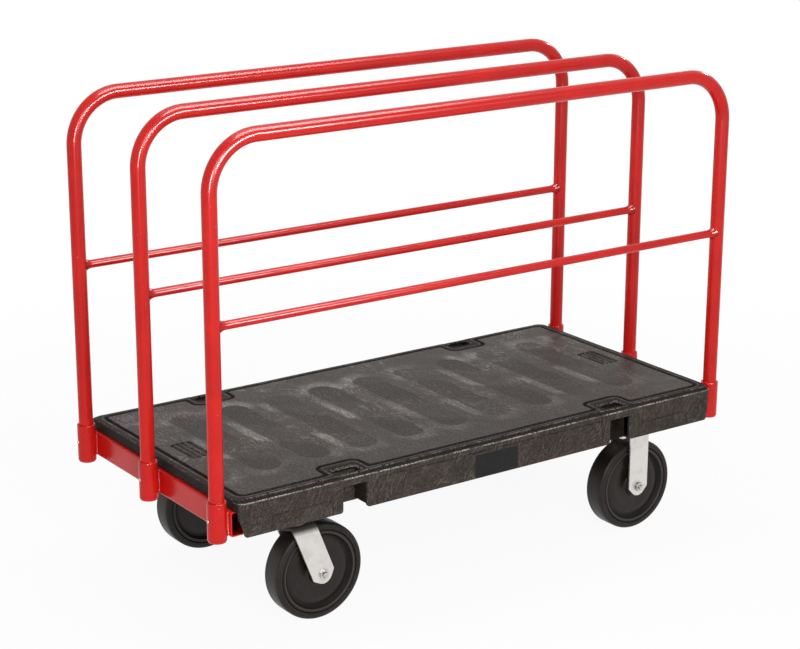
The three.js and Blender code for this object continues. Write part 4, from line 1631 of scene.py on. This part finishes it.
@dataclass
class EndFrame:
    """One end's steel: the beam across, its two arms under the platform and the weld beads."""

    end: str
    beam_corner: float = 0.0042
    beam_wall: float = 0.003
    beam_bevel: float = 0.0005
    arm_shade: float = 0.4
    bead_radius: float = 0.0030
    bead_offset: float = 0.0085
    bead_lift: float = 0.0004

    def beam(self) -> Skin:
        """A rounded rectangular tube with open ends: outer and inner sections carried along Y and joined.

        Returns:
            The skin, with painted shade inside the tube.
        """
        space = Space.of(f"end_beam_{self.end}")
        half_x, half_y, half_z = space.half
        rings = []
        for inset, ease in ((self.beam_wall, self.beam_wall - 0.0006), (self.beam_bevel,) * 2, (0.0, 0.0)):
            rings.append(rounded_rectangle(half_z - inset, half_x - inset, self.beam_corner - ease))
        inner, bevelled, outer = rings
        # The last figure of each station is its painted shade: full deep in the tube, less near the mouth,
        # none at the mouth or outside.
        stations = (
            (inner, 0.03, 1.0), (inner, 0.001, 0.6), (inner, 0.0, 0.0), (bevelled, 0.0, 0.0),
            (outer, self.beam_bevel, 0.0), (outer, 0.02, 0.0),
        )
        plan, depths, shades = (np.array(column) for column in zip(*stations, strict=True))
        levels = np.broadcast_to((depths - half_y)[:, None, None], plan.shape[:2] + (1,))
        near = np.concatenate([plan, levels], axis=-1)
        grid = stood(np.concatenate([near, near[::-1] * (1, 1, -1)]), Axis.Y, space.middle)
        return Skin.of(grid, along=True, hollow=np.concatenate([shades, shades[::-1]])[:, None])

    def beads(self) -> Skin:
        """Weld beads up both sides of each socket, where it meets the beam."""
        beam, sign = Space.of(f"end_beam_{self.end}"), sign_of(self.end)
        x = beam.run(Axis.X, sign)[1] + sign * self.bead_lift
        skin = Skin()
        for row in ROWS:
            centre = Space.of(f"post_socket_{row}_{self.end}").middle[1]
            for y in (centre - self.bead_offset, centre + self.bead_offset):
                low, high = (x, y, beam.low[2] + 0.002), (x, y, beam.high[2] - 0.001)
                skin.grid(bead(low, high, self.bead_radius, (0, 1, 0)))
        return skin

    def build(self, shop: Workshop) -> None:
        """Makes and places the beam, the arms and the beads.

        Args:
            shop: Where the pieces are finished.
        """
        shop.place(self.beam(), f"beam_{self.end}", Slot.RED_PAINT, "platform", f"end_beam_{self.end}")
        for side in ("front", "rear"):
            node = f"frame_arm_{side}_{self.end}"
            space = Space.of(node)
            outline = rounded_rectangle(*space.half[:2], 0.003) + space.middle[:2]
            # The arms take painted shade, as they lie in shadow under the platform.
            arm = Skin.of(slab(outline, space.low[2], space.high[2], 0.0008), hollow=self.arm_shade)
            shop.place(arm, f"arm_{side}_{self.end}", Slot.RED_PAINT, "platform", node)
        shop.place(self.beads(), f"weld_beads_{self.end}", Slot.RED_PAINT, "platform")


@dataclass
class HoopRow:
    """One row across the cart: the hoop and its guard rail, the two sockets and their set screws."""

    row: str
    bend: float = 0.102
    bend_steps: int = 28
    leg_steps: int = 11
    top_steps: int = 15
    sides: int = 36
    hoop_wall: float = 0.002
    rail_flare: float = 0.0046
    rail_flare_run: float = 0.016
    rail_steps: int = 13
    socket_wall: float = 0.0034
    socket_floor: float = 0.004
    screw_shank: float = 0.0024

    def path(self) -> Array:
        """The hoop's middle line: up a leg, round a quarter circle, across, round another and down."""
        space = Space.of(f"hoop_{self.row}")
        radius = space.half[1]
        reach, top = space.high[0] - radius, space.high[2] - radius
        swing = np.linspace(0, QUARTER_TURN, self.bend_steps + 1)
        arc_x = reach - self.bend + self.bend * np.cos(swing)
        arc_z = top - self.bend + self.bend * np.sin(swing)
        leg = np.linspace(space.low[2], top - self.bend, self.leg_steps + 1)[:-1]
        across = np.linspace(self.bend - reach, reach - self.bend, self.top_steps + 1)[1:-1]
        foot = np.full_like(leg, reach)
        x = np.concatenate([-foot, -arc_x, across, arc_x[::-1], foot])
        z = np.concatenate([leg, arc_z, np.full_like(across, top), arc_z[::-1], leg[::-1]])
        return np.stack([x, np.full_like(x, space.middle[1]), z], axis=1)

    def hoop(self) -> Skin:
        """A tube with its wall, carried along the path outside and back inside."""
        radius, path = Space.of(f"hoop_{self.row}").half[1], self.path()
        radii = (radius, radius - self.hoop_wall)
        outer, inner = (swept(path, np.full(len(path), reach), self.sides, (0, 1, 0)) for reach in radii)
        return Skin.of(np.concatenate([outer, inner[::-1]]), along=True)

    def rail(self) -> Skin:
        """The guard rail: a tube whose ends follow the legs and flare into their welds.

        A ring at the gap g from the leg is wider by the flare times (1 - g / run) cubed, and each of its
        points lies on the leg's cylinder moved in by g.

        Returns:
            The skin.
        """
        space, hoop = Space.of(f"guard_rail_{self.row}"), Space.of(f"hoop_{self.row}")
        leg_radius, run = hoop.half[1], self.rail_flare_run
        gap = np.array([0.0, 0.0006, 0.0014, 0.0024, 0.0036, 0.0052, 0.0072, 0.0096, 0.0125, run])
        wide = space.half[2] + self.rail_flare * (1 - gap / run) ** 3
        y, z = wide[:, None] * ring_of(self.sides, 1.0).T[:, None]
        leg_face = np.sqrt(np.maximum((leg_radius - 0.0002) ** 2 - y * y, 0))
        gap, fade = gap[:, None], gap[:, None] / run
        x = hoop.high[0] - leg_radius - (leg_face * (1 - fade) + leg_radius * fade) - gap
        half = np.stack([x, y, z], axis=-1)
        spans = np.ones((self.rail_steps - 1, 1, 3))
        spans[..., 0] = np.linspace(1, -1, self.rail_steps + 1)[1:-1, None]
        # Painted shade near the welds, where the rail's flared ends meet the legs.
        grime_and_shade = 0.55 * np.clip(1 - gap / 0.010, 0, 1) ** 1.5
        shade = np.concatenate([grime_and_shade, np.zeros((len(spans), 1)), grime_and_shade[::-1]])
        grid = np.concatenate([half, half[-1] * spans, half[::-1] * (-1, 1, 1)])
        return Skin.of(grid + (0.0, hoop.middle[1], space.middle[2]), hollow=shade)

    def socket(self, end: str) -> Skin:
        """A cup: its section turned about the upright axis, with a rolled lip and a seam near the foot.

        Args:
            end: Which end of the cart.

        Returns:
            The skin.
        """
        space = Space.of(f"post_socket_{self.row}_{end}")
        radius, high, floor = space.half[1], space.size[2], self.socket_floor
        bore = radius - self.socket_wall
        corners = [
            (0.0, 0.0, 0.0), (radius - 0.0016, 0.0, 0.0008), (radius - 0.0006, 0.0030, 0.0006),
            (radius, 0.0036, 0.0006), (radius, high, 0.0011), (bore, high, 0.0009),
            (bore, floor, 0.0006), (0.0, floor, 0.0),
        ]
        centre = (*space.middle[:2], space.low[2])
        return Skin.of(turned(filleted(corners, closed=False), 48, Axis.Z, centre))

    def screw(self, end: str) -> Skin:
        """A small set screw: a domed head with a hexagon recess and a plain shank.

        Args:
            end: Which end of the cart.

        Returns:
            The skin.
        """
        space, sign, shank = Space.of(f"set_screw_{self.row}_{end}"), sign_of(end), self.screw_shank
        tip, head = space.run(Axis.X, sign)
        radius, length = space.half[1], abs(head - tip)
        corners = [
            (0.0, 0.0, 0.0), (shank, 0.0, 0.0003), (shank, length - 0.0020, 0.0),
            (radius, length - 0.0020, 0.0003), (radius - 0.0004, length - 0.0004, 0.0008),
            (0.0017, length, 0.0002), (0.0015, length - 0.0014, 0.0), (0.0, length - 0.0014, 0.0),
        ]
        grid = turned(filleted(corners, closed=False, steps=3), 24, Axis.X, (0, 0, 0))
        return Skin.of(grid * (sign, 1, 1) + (tip, *space.middle[1:]))

    def build(self, shop: Workshop) -> None:
        """Makes and places the row's pieces.

        Args:
            shop: Where the pieces are finished.
        """
        row, body = self.row, f"{self.row}_hoop"
        shop.place(self.hoop(), f"{row}_hoop_tube", Slot.RED_PAINT, body, f"hoop_{row}")
        shop.place(self.rail(), f"{row}_rail_tube", Slot.RED_PAINT, body, f"guard_rail_{row}")
        for end in ENDS:
            place, cup, screw = f"{row}_{end}", self.socket(end), self.screw(end)
            shop.place(cup, f"socket_{place}", Slot.RED_PAINT, "platform", f"post_socket_{place}")
            shop.place(screw, f"screw_{place}", Slot.BOLT_STEEL, "platform", f"set_screw_{place}")


@dataclass
class Wheel:
    """A wheel with its bush, axle bolt and nut."""

    place: str
    tread_round: float = 0.007125
    groove_radius: float = 0.0752
    groove_run: float = 0.0060
    lip_radius: float = 0.0812
    lip_run: float = 0.0016
    lip_highlight_share: float = 0.55
    bore: float = 0.0093
    sides: int = 96
    bush_bore: float = 0.0063
    washer: float = 0.0016
    shank_radius: float = 0.006
    head_radius: float = 0.0104
    head_height: float = 0.0075
    thread_pitch: float = 0.0008
    thread_depth: float = 0.0006
    thread_rows: int = 14

    @property
    def sign(self) -> int:
        """1 where the wheel's outer side looks along +Y, and -1 on the front row."""
        return sign_of(self.place.split("_")[0])

    def _turned(self, side: Sequence[Corner], steps: int, centre: Array) -> Skin:
        """A closed profile turned about the axle, with its distance from the axle as an attribute.

        Args:
            side: Corners of one side, as a radius, a place along the axle and a fillet.
            steps: Segments in each fillet.
            centre: Middle of the wheel.

        Returns:
            The skin, marked for painted shade in the groove and a painted highlight on the lip.
        """
        profile = filleted(both_ways(side), steps=steps)
        reach = profile[:, :1]
        # Marks for painted shade in the groove and a painted highlight on the rim's lip.
        groove = bump_of(reach, self.groove_radius, self.groove_run)
        lip = self.lip_highlight_share * bump_of(reach, self.lip_radius, self.lip_run)
        grid = turned(profile, self.sides, Axis.Y, centre)
        return Skin.of(grid, along=True, reach=reach, hollow=groove, edge=lip)

    def tyre(self) -> Skin:
        """The tread ring: slightly crowned, with round shoulders and a fine step on each face."""
        space = Space.of(f"tyre_{self.place}")
        _, half, radius = space.half
        steps = np.array([
            (-0.0142, -0.0026, 0.0006), (-0.0132, -0.0004, 0.0008), (-0.0096, 0.0, 0.0010),
            (-0.0088, -0.0006, 0.0003), (-0.0080, -0.0003, 0.0006), (-0.0004, -0.0012, self.tread_round),
        ])
        return self._turned([*(steps + (radius, half, 0.0)), (radius, 0.0, 0.0)], 6, space.middle)

    def core(self) -> Skin:
        """The moulded centre: rolled rim, deep groove, shallow cone and a stepped hub."""
        space = Space.of(f"wheel_core_{self.place}")
        half, rim = space.half[1], space.half[2] - 0.0004
        face = half - 0.0016
        side = [
            (self.bore, half, 0.0004), (0.0150, half, 0.0006), (0.0158, half - 0.0010, 0.0004),
            (0.0235, half - 0.0010, 0.0014), (0.0262, face - 0.0058, 0.0026), (0.0315, face - 0.0070, 0.0020),
            (0.0560, face - 0.0058, 0.010), (0.0655, face - 0.0072, 0.003), (0.0715, face - 0.0092, 0.0025),
            (0.0745, face - 0.0096, 0.002), (0.0775, face - 0.0060, 0.002), (0.0800, face - 0.0014, 0.002),
            (0.0835, face - 0.0006, 0.0015), (rim, face - 0.0016, 0.0006),
        ]
        return self._turned(side, 5, space.middle)

    def bush(self) -> Skin:
        """The sleeve between the legs."""
        space = Space.of(f"hub_bush_{self.place}")
        _, half, radius = space.half
        profile = filleted(both_ways([(self.bush_bore, -half, 0.0003), (radius, -half, 0.0006)]))
        return Skin.of(turned(profile, 32, Axis.Y, space.middle), along=True)

    def nut(self) -> Skin:
        """The hexagon nut over a washer, with painted shade where they meet."""
        space, washer = Space.of(f"axle_nut_{self.place}"), self.washer
        centre = (space.middle[0], space.run(Axis.Y, self.sign)[0], space.middle[2])
        radius = max(space.half[0], space.half[2])
        ring, hexagon = ring_of(32, radius * 0.99), ring_of(6, radius, 0.0012)
        skin = Skin()
        for outline, low, high in ((ring, 0.0, washer), (hexagon, washer, space.size[1])):
            grid = slab(outline, low, high, 0.0007)
            # Painted shade where the nut meets the washer.
            shade = 0.85 * bump_of(grid[..., 2], washer, 0.0011)
            skin.grid(stood(grid * (1, 1, self.sign), Axis.Y, centre), hollow=shade)
        return skin

    def bolt(self) -> Skin:
        """The axle bolt: a hexagon head on the inner side, a shank and a threaded end past the nut."""
        space, sign = Space.of(f"axle_bolt_{self.place}"), self.sign
        head, tip = space.run(Axis.Y, sign)
        centre, radius, length = (space.middle[0], head, space.middle[2]), self.shank_radius, abs(tip - head)
        hexagon = slab(ring_of(6, self.head_radius, 0.0012), 0.0, self.head_height, 0.0008)
        skin = Skin.of(stood(hexagon * (1, 1, sign), Axis.Y, centre))
        threads = np.arange(self.thread_rows)
        root = threads % 2
        levels = length - 0.0010 - threads[::-1] * self.thread_pitch
        profile = np.concatenate([
            [(0.0, 0.004), (radius, 0.004), (radius, levels[0] - 0.001)],
            np.stack([radius - self.thread_depth * root, levels], axis=1),
            [(radius - 0.0012, length), (0.0, length)],
        ])
        shank = turned(profile, 32, Axis.Z, (0, 0, 0)) * (1, 1, sign)
        # Painted shade in the thread roots.
        shade = np.concatenate([[0.0, 0.0, 0.0], 0.9 * root, [0.0, 0.0]])[:, None]
        skin.grid(stood(shank, Axis.Y, centre), hollow=shade)
        return skin

    def build(self, shop: Workshop, fork_body: str) -> None:
        """Makes and places the wheel's pieces.

        Args:
            shop: Where the pieces are finished.
            fork_body: The body that carries the axle.
        """
        place, body = self.place, f"{self.place}_wheel"
        shop.place(self.tyre(), f"tread_{place}", Slot.TYRE_RUBBER, body, f"tyre_{place}")
        shop.place(self.core(), f"centre_{place}", Slot.WHEEL_PLASTIC, body, f"wheel_core_{place}")
        steel = Slot.BOLT_STEEL
        shop.place(self.bush(), f"axle_bush_set_{place}", steel, fork_body, f"hub_bush_{place}")
        shop.place(self.nut(), f"axle_nut_set_{place}", steel, fork_body, f"axle_nut_{place}")
        shop.place(self.bolt(), f"axle_bolt_set_{place}", steel, fork_body, f"axle_bolt_{place}")


@dataclass
class Caster:
    """A caster: top plate with its bolts, fork, and on the swivel ones the race and kingpin."""

    place: str
    swivels: bool
    leg_width: float = 0.052
    end_radius: float = 0.021
    shoulder: float = 0.003
    leg_wall: float = 0.005
    crown_wall: float = 0.006
    bend_radius: float = 0.010
    crown_radius: float = 0.038
    crown_shift: float = 0.010
    crown_shade: float = 0.95
    edge: float = 0.0009
    plate_top: float = 0.2410
    plate_thickness: float = 0.005
    plate_corner: float = 0.010
    washer: float = 0.0014
    race_bore: float = 0.0085
    pin_radius: float = 0.008
    pin_nut_radius: float = 0.012

    def leg_edges(self, axle: Array, top: Array, levels: Array) -> list[Array]:
        """Both edges of a leg at given heights.

        The outline is two edges along the lean, a taper from the shoulders and a round end about the axle.
        It is sampled as a polygon and read at each height on its left and its right.

        Args:
            axle: The axle's X and Z.
            top: The middle of the leg's top, X and Z.
            levels: The heights.

        Returns:
            The low and high X at each height.
        """
        length = np.linalg.norm(top - axle)
        up = (top - axle) / length
        across = np.array([up[1], -up[0]])
        half, radius, shoulder = self.leg_width / 2, self.end_radius, self.shoulder
        tangent = math.atan2(shoulder, half) + math.acos(radius / math.hypot(half, shoulder))
        swing = np.linspace(tangent, math.pi - tangent, 25)
        low_end = radius * np.stack([np.cos(swing), -np.sin(swing)], axis=1)
        right = np.concatenate([[(half, length + 0.03), (half, -shoulder)], low_end])
        edges = []
        for sign in (-1, 1):
            places = axle + sign * right[:, :1] * across + right[:, 1:] * up
            part = places[: np.argmin(places[:, 1]) + 1]
            part = part[np.argsort(part[:, 1])]
            edges.append(np.interp(levels, part[:, 1], part[:, 0]))
        return edges

    def fork(self) -> Skin:
        """The fork: one strip bent over the wheel, its flat section carried from leg to leg.

        The path runs up a leg, round a bend, across the crown and down the other leg. At each station the
        section is a flat rectangle with eased edges, as wide as the leg or crown is there.

        Returns:
            The skin, with painted shade at the crown, under the platform, on the swivel casters.
        """
        space, wheel = Space.of(f"fork_{self.place}"), Space.of(f"tyre_{self.place}")
        pin_x = top_x = space.middle[0]
        if self.swivels:
            pin_x = Space.of(f"kingpin_{self.place}").middle[0]
            top_x = pin_x + self.crown_shift
        half_y, half_x, foot, top = space.half[1], self.leg_width / 2, space.low[2], space.high[2]
        swing = np.linspace(0, QUARTER_TURN, 9)[1:]
        close = foot + (1 - np.cos(np.linspace(0, QUARTER_TURN, 18))) * 0.030
        rise = np.concatenate([close, np.linspace(foot + 0.035, top - self.bend_radius, 10)])
        level = np.concatenate([rise, top - self.bend_radius * (1 - np.sin(swing))])
        crown_y = np.linspace(half_y - self.bend_radius, 0, 12)[1:]
        axle = np.array([wheel.middle[0], wheel.middle[2]])
        low, high = self.leg_edges(axle, np.array([top_x, top]), np.minimum(level, top - 0.001))
        low = np.concatenate([low, np.full_like(crown_y, top_x - half_x)])
        high = np.concatenate([high, np.full_like(crown_y, top_x + half_x)])
        bend_y = half_y - self.bend_radius * (1 - np.cos(swing))
        outer_y = np.concatenate([np.full_like(rise, half_y), bend_y, crown_y])
        outer_z = np.concatenate([level, np.full_like(crown_y, top)])
        if self.swivels:
            bulge = np.sqrt(np.maximum(self.crown_radius**2 - outer_y**2, 0))
            on_crown = outer_z > top - 0.004
            low = np.where(on_crown, np.minimum(low, pin_x - bulge), low)
            high = np.where(on_crown, np.maximum(high, pin_x + bulge), high)
        inner = self._inner(rise, half_y, top, swing, crown_y)
        grid = self._section(low, high, np.stack([outer_y, outer_z], axis=1), inner)
        whole = np.concatenate([grid, grid[-2::-1] * (1, -1, 1)]) + (0, space.middle[1], 0)
        ends = (whole[:1], whole[-1:])
        caps = [np.broadcast_to(end.mean(axis=1, keepdims=True), end.shape) for end in ends]
        # Painted shade on the crown and the top of the bend, which lie in shadow under the platform.
        shade = eased(outer_z, top - 0.018, top - 0.007) * self.crown_shade * self.swivels
        shade = np.concatenate([[0.0], shade, shade[-2::-1], [0.0]])[:, None]
        return Skin.of(np.concatenate([caps[0], whole, caps[1]]), hollow=shade)

    def _inner(self, rise: Array, half_y: float, top: float, swing: Array, crown_y: Array) -> Array:
        """The inner side of the strip, station by station with the outer one.

        Args:
            rise: Heights up the leg.
            half_y: Half the fork's width.
            top: Height of its crown.
            swing: Turns of the bend.
            crown_y: Places across the crown.

        Returns:
            A row of Y and Z for each station.
        """
        bend = self.bend_radius - self.leg_wall
        inside_y, inside_z = half_y - self.leg_wall, top - self.crown_wall
        leg_z = rise[0] + (rise - rise[0]) * (inside_z - bend - rise[0]) / (rise[-1] - rise[0])
        crown = crown_y * (inside_y - bend) / (half_y - self.bend_radius)
        y = np.concatenate([np.full_like(rise, inside_y), inside_y - bend * (1 - np.cos(swing)), crown])
        z = np.concatenate([leg_z, inside_z - bend * (1 - np.sin(swing)), np.full_like(crown, inside_z)])
        return np.stack([y, z], axis=1)

    def _section(self, low: Array, high: Array, outer: Array, inner: Array) -> Array:
        """Flat sections with eased edges between the outer and inner sides.

        A section runs down the high edge and back up the low one. Each of its corners is a quarter circle.

        Args:
            low: The lower X at each station.
            high: The higher X at each station.
            outer: Y and Z of the outer side at each station.
            inner: Y and Z of the inner side at each station.

        Returns:
            A grid with a row for each station.
        """
        swing = np.linspace(0, QUARTER_TURN, 4)
        inset, deep = 1 - np.sin(swing), 1 - np.cos(swing)
        edge = np.minimum(self.edge, (high - low) * 0.45)[:, None]
        inset = edge * np.concatenate([inset, inset[::-1]])
        x = np.concatenate([high[:, None] - inset, low[:, None] + inset], axis=1)
        amount = edge * deep / np.linalg.norm(outer - inner, axis=1, keepdims=True)
        share = np.concatenate([amount, 1 - amount[:, ::-1]], axis=1)
        share = np.concatenate([share, share[:, ::-1]], axis=1)[..., None]
        return np.concatenate([x[..., None], outer[:, None] + (inner - outer)[:, None] * share], axis=-1)

    def plate(self) -> Skin:
        """The top plate."""
        space = Space.of(f"caster_plate_{self.place}")
        outline = rounded_rectangle(*space.half[:2], self.plate_corner) + space.middle[:2]
        return Skin.of(slab(outline, self.plate_top - self.plate_thickness, self.plate_top, self.edge))

    def bolts(self) -> Skin:
        """Hexagon heads on washers under the plate, and the shanks' ends above the arm."""
        space = Space.of(f"caster_plate_{self.place}")
        under = self.plate_top - self.plate_thickness
        seat = under - self.washer
        parts = (
            (ring_of(24, 0.0090), seat, under),
            (ring_of(6, 0.0082, 0.0010), space.low[2], seat),
            (ring_of(16, 0.0047), under, space.high[2]),
        )
        skin = Skin()
        for place in bolt_places(self.place):
            for outline, low, high in parts:
                skin.grid(slab(outline + place, low, high, 0.0006))
        return skin

    def race(self) -> Skin:
        """The ball race: two pressed cups with a gap between them, all in painted shade under the platform."""
        space = Space.of(f"ball_race_{self.place}")
        bore, radius, height = self.race_bore, space.half[0], space.size[2]
        cup, gap = radius - 0.001, radius - 0.004
        corners = [
            (bore, 0.0, 0.0), (radius - 0.006, 0.0, 0.001), (cup, 0.005, 0.004), (cup, 0.0095, 0.001),
            (gap, 0.0098, 0.0004), (gap, 0.0112, 0.0004), (radius, 0.0115, 0.001),
            (radius, height - 0.004, 0.003), (gap, height, 0.001), (bore, height, 0.0),
        ]
        centre = (*space.middle[:2], space.low[2])
        # The whole race takes painted shade, as it lies in shadow under the platform.
        return Skin.of(turned(filleted(corners), 64, Axis.Z, centre), along=True, hollow=0.8)

    def kingpin(self) -> Skin:
        """The kingpin: a shank through the race and a hexagon nut under the crown."""
        space, fork = Space.of(f"kingpin_{self.place}"), Space.of(f"fork_{self.place}")
        nut = ring_of(6, self.pin_nut_radius, 0.0012) + space.middle[:2]
        shank = ring_of(24, self.pin_radius) + space.middle[:2]
        skin = Skin.of(slab(nut, space.low[2], fork.high[2] - self.crown_wall - 0.0003, 0.0008))
        skin.grid(slab(shank, space.low[2] + 0.003, space.high[2], 0.0006))
        return skin

    def build(self, shop: Workshop) -> None:
        """Makes and places the caster's pieces and its wheel.

        Args:
            shop: Where the pieces are finished.
        """
        place, body = self.place, f"{self.place}_swivel" if self.swivels else "platform"
        zinc, steel = Slot.BRIGHT_ZINC, Slot.BOLT_STEEL
        shop.place(self.fork(), f"leg_{place}", zinc, body, f"fork_{place}")
        shop.place(self.plate(), f"top_plate_{place}", zinc, "platform", f"caster_plate_{place}")
        shop.place(self.bolts(), f"plate_bolts_{place}", steel, "platform")
        if self.swivels:
            shop.place(self.race(), f"race_{place}", zinc, "platform", f"ball_race_{place}")
            shop.place(self.kingpin(), f"pin_{place}", steel, "platform", f"kingpin_{place}")
        Wheel(place).build(shop, body)


@dataclass
class Studio:
    """The pale floor, the lamps and the camera."""

    painted: bpy.types.Collection
    floor_half: float = 12.0
    paper: Seen = (250, 250, 250)
    paper_dull: Seen = (248, 248, 248)
    glow_run: Run = (0.9, 2.6)
    glow_share: float = 0.93
    daylight: float = 0.42
    pixels_wide: float = 800.0
    focal_pixels: float = 2023.08
    film_width: float = 36.0
    azimuth: float = -35.407
    elevation: float = 16.615
    roll: float = 0.175
    eye: Corner = (-2.4172, -3.3698, 1.7261)

    @staticmethod
    def _link(name: str, data: bpy.types.ID) -> Placed:
        """Makes an object of its data and puts it in the scene.

        Args:
            name: Name of the object.
            data: Its mesh, lamp or camera data.

        Returns:
            The object.
        """
        made = bpy.data.objects.new(name, data)
        bpy.context.scene.collection.objects.link(made)
        return made

    @staticmethod
    def _stance(right: Array, up: Array, back: Array, place: Sequence[float]) -> Matrix:
        """The matrix that gives an object its three directions and its place."""
        return Matrix([*np.stack([right, up, back, place], axis=1).tolist(), (0, 0, 0, 1)])

    def floor(self) -> None:
        """A wide floor that stays white to the camera and to gloss, and keeps a soft shadow."""
        half = self.floor_half
        mesh = bpy.data.meshes.new("floor")
        corners = [(-half, -half, 0), (half, -half, 0), (half, half, 0), (-half, half, 0)]
        mesh.from_pydata(corners, [], [(0, 1, 2, 3)])
        material = bpy.data.materials.new("floor_paper")
        material.use_nodes = True
        nodes = material.node_tree.nodes
        graph = Graph(material.node_tree)
        shader = nodes["Principled BSDF"]
        shader.inputs["Roughness"].default_value = 1.0
        shader.inputs["Specular IOR Level"].default_value = 0.0
        grain = graph.noise(graph.place(), 40.0, 3.0)
        graph.feed(shader.inputs["Base Color"], graph.mix(grain, self.paper, self.paper_dull))
        away = graph.values("ShaderNodeVectorMath", {0: graph.place()}, operation="LENGTH")[1]
        share = graph.direct() * away.eased(*self.glow_run, self.glow_share, 1.0)
        glow = graph.value("ShaderNodeEmission", {"Color": (1, 1, 1, 1), "Strength": 1.0})
        feeds = {0: share, 1: Value(graph, shader.outputs[0]), 2: glow}
        graph.feed(nodes["Material Output"].inputs["Surface"], graph.value("ShaderNodeMixShader", feeds))
        mesh.materials.append(material)
        self._link("floor", mesh)

    def world(self) -> None:
        """An even grey light that shows as white to the camera and to gloss."""
        world = bpy.data.worlds.new("studio")
        world.use_nodes = True
        bpy.context.scene.world = world
        background = world.node_tree.nodes["Background"]
        background.inputs["Color"].default_value = (1, 1, 1, 1)
        graph = Graph(world.node_tree)
        graph.feed(background.inputs["Strength"], graph.direct().eased(0.0, 1.0, self.daylight, 1.0))

    def lamp(
        self, name: str, place: Corner, aim: Corner, size: Run, power: float, gloss_only: bool = False
    ) -> None:
        """A soft rectangular lamp that faces a point.

        Args:
            name: Name of the lamp.
            place: Where it hangs.
            aim: What it faces.
            size: Its width and height.
            power: Its power in watts.
            gloss_only: Whether it is only mirrored, by the painted pieces, and lights nothing.
        """
        data = bpy.data.lights.new(name, "AREA")
        data.shape = "RECTANGLE"
        data.size, data.size_y = size
        data.energy = power
        back = np.array(place) - aim
        back /= np.linalg.norm(back)
        right = np.cross((0.0, 0.0, 1.0), back)
        length = np.linalg.norm(right)
        right = right / length if length > WELD else np.array([1.0, 0.0, 0.0])
        lamp = self._link(name, data)
        lamp.matrix_world = self._stance(right, np.cross(back, right), back, place)
        lamp.visible_camera = False
        lamp.visible_diffuse = not gloss_only
        if gloss_only:
            lamp.light_linking.receiver_collection = self.painted

    def camera(self) -> None:
        """The photograph's camera, from its azimuth, elevation, roll and focal length."""
        a, e, r = (math.radians(angle) for angle in (self.azimuth, self.elevation, self.roll))
        back = np.array([math.sin(a) * math.cos(e), -math.cos(a) * math.cos(e), math.sin(e)])
        right = np.array([math.cos(a), math.sin(a), 0.0])
        up = np.cross(back, right)
        data = bpy.data.cameras.new("camera")
        data.sensor_width = self.film_width
        data.lens = self.focal_pixels * self.film_width / self.pixels_wide
        camera = self._link("camera", data)
        rolled = (math.cos(r) * right + math.sin(r) * up, math.cos(r) * up - math.sin(r) * right)
        camera.matrix_world = self._stance(*rolled, back, self.eye)
        bpy.context.scene.camera = camera

    def build(self) -> None:
        """Sets the camera, floor, world and lamps, and the plain view transform."""
        self.camera()
        self.floor()
        self.world()
        self.lamp("key", (-1.5, -3.0, 1.9), (0.0, 0.0, 0.5), (1.5, 1.5), 66.0)
        self.lamp("top", (0.3, 0.4, 3.6), (0.0, 0.0, 0.3), (2.8, 1.6), 36.0)
        self.lamp("line", (0.45, -3.8, 1.50), (-0.3, 0.0, 1.0), (2.7, 0.95), 620.0, gloss_only=True)
        self.lamp("low", (-1.9, -2.75, 1.05), (-0.6, 0.0, 0.9), (0.35, 1.0), 120.0, gloss_only=True)
        self.lamp("ceiling", (0.7, -1.25, 4.1), (0.7, -1.25, 0.0), (3.0, 1.9), 400.0, gloss_only=True)
        self.lamp("spark", (4.1, 1.1, 2.5), (0.5, 0.0, 1.0), (0.14, 0.14), 45.0, gloss_only=True)
        bpy.context.scene.view_settings.view_transform = "Standard"


def main() -> None:
    """Builds the cart and its studio."""
    logging.basicConfig(level=logging.INFO, format="%(name)s: %(message)s")
    painted = bpy.data.collections.new("painted")
    Studio(painted).build()
    shop = Workshop(painted)
    Platform().build(shop)
    for end in ENDS:
        EndFrame(end).build(shop)
    for row in ROWS:
        HoopRow(row).build(shop)
    for side in ("front", "rear"):
        Caster(f"{side}_left", True).build(shop)
        Caster(f"{side}_right", False).build(shop)


if __name__ == "__main__":
    main()
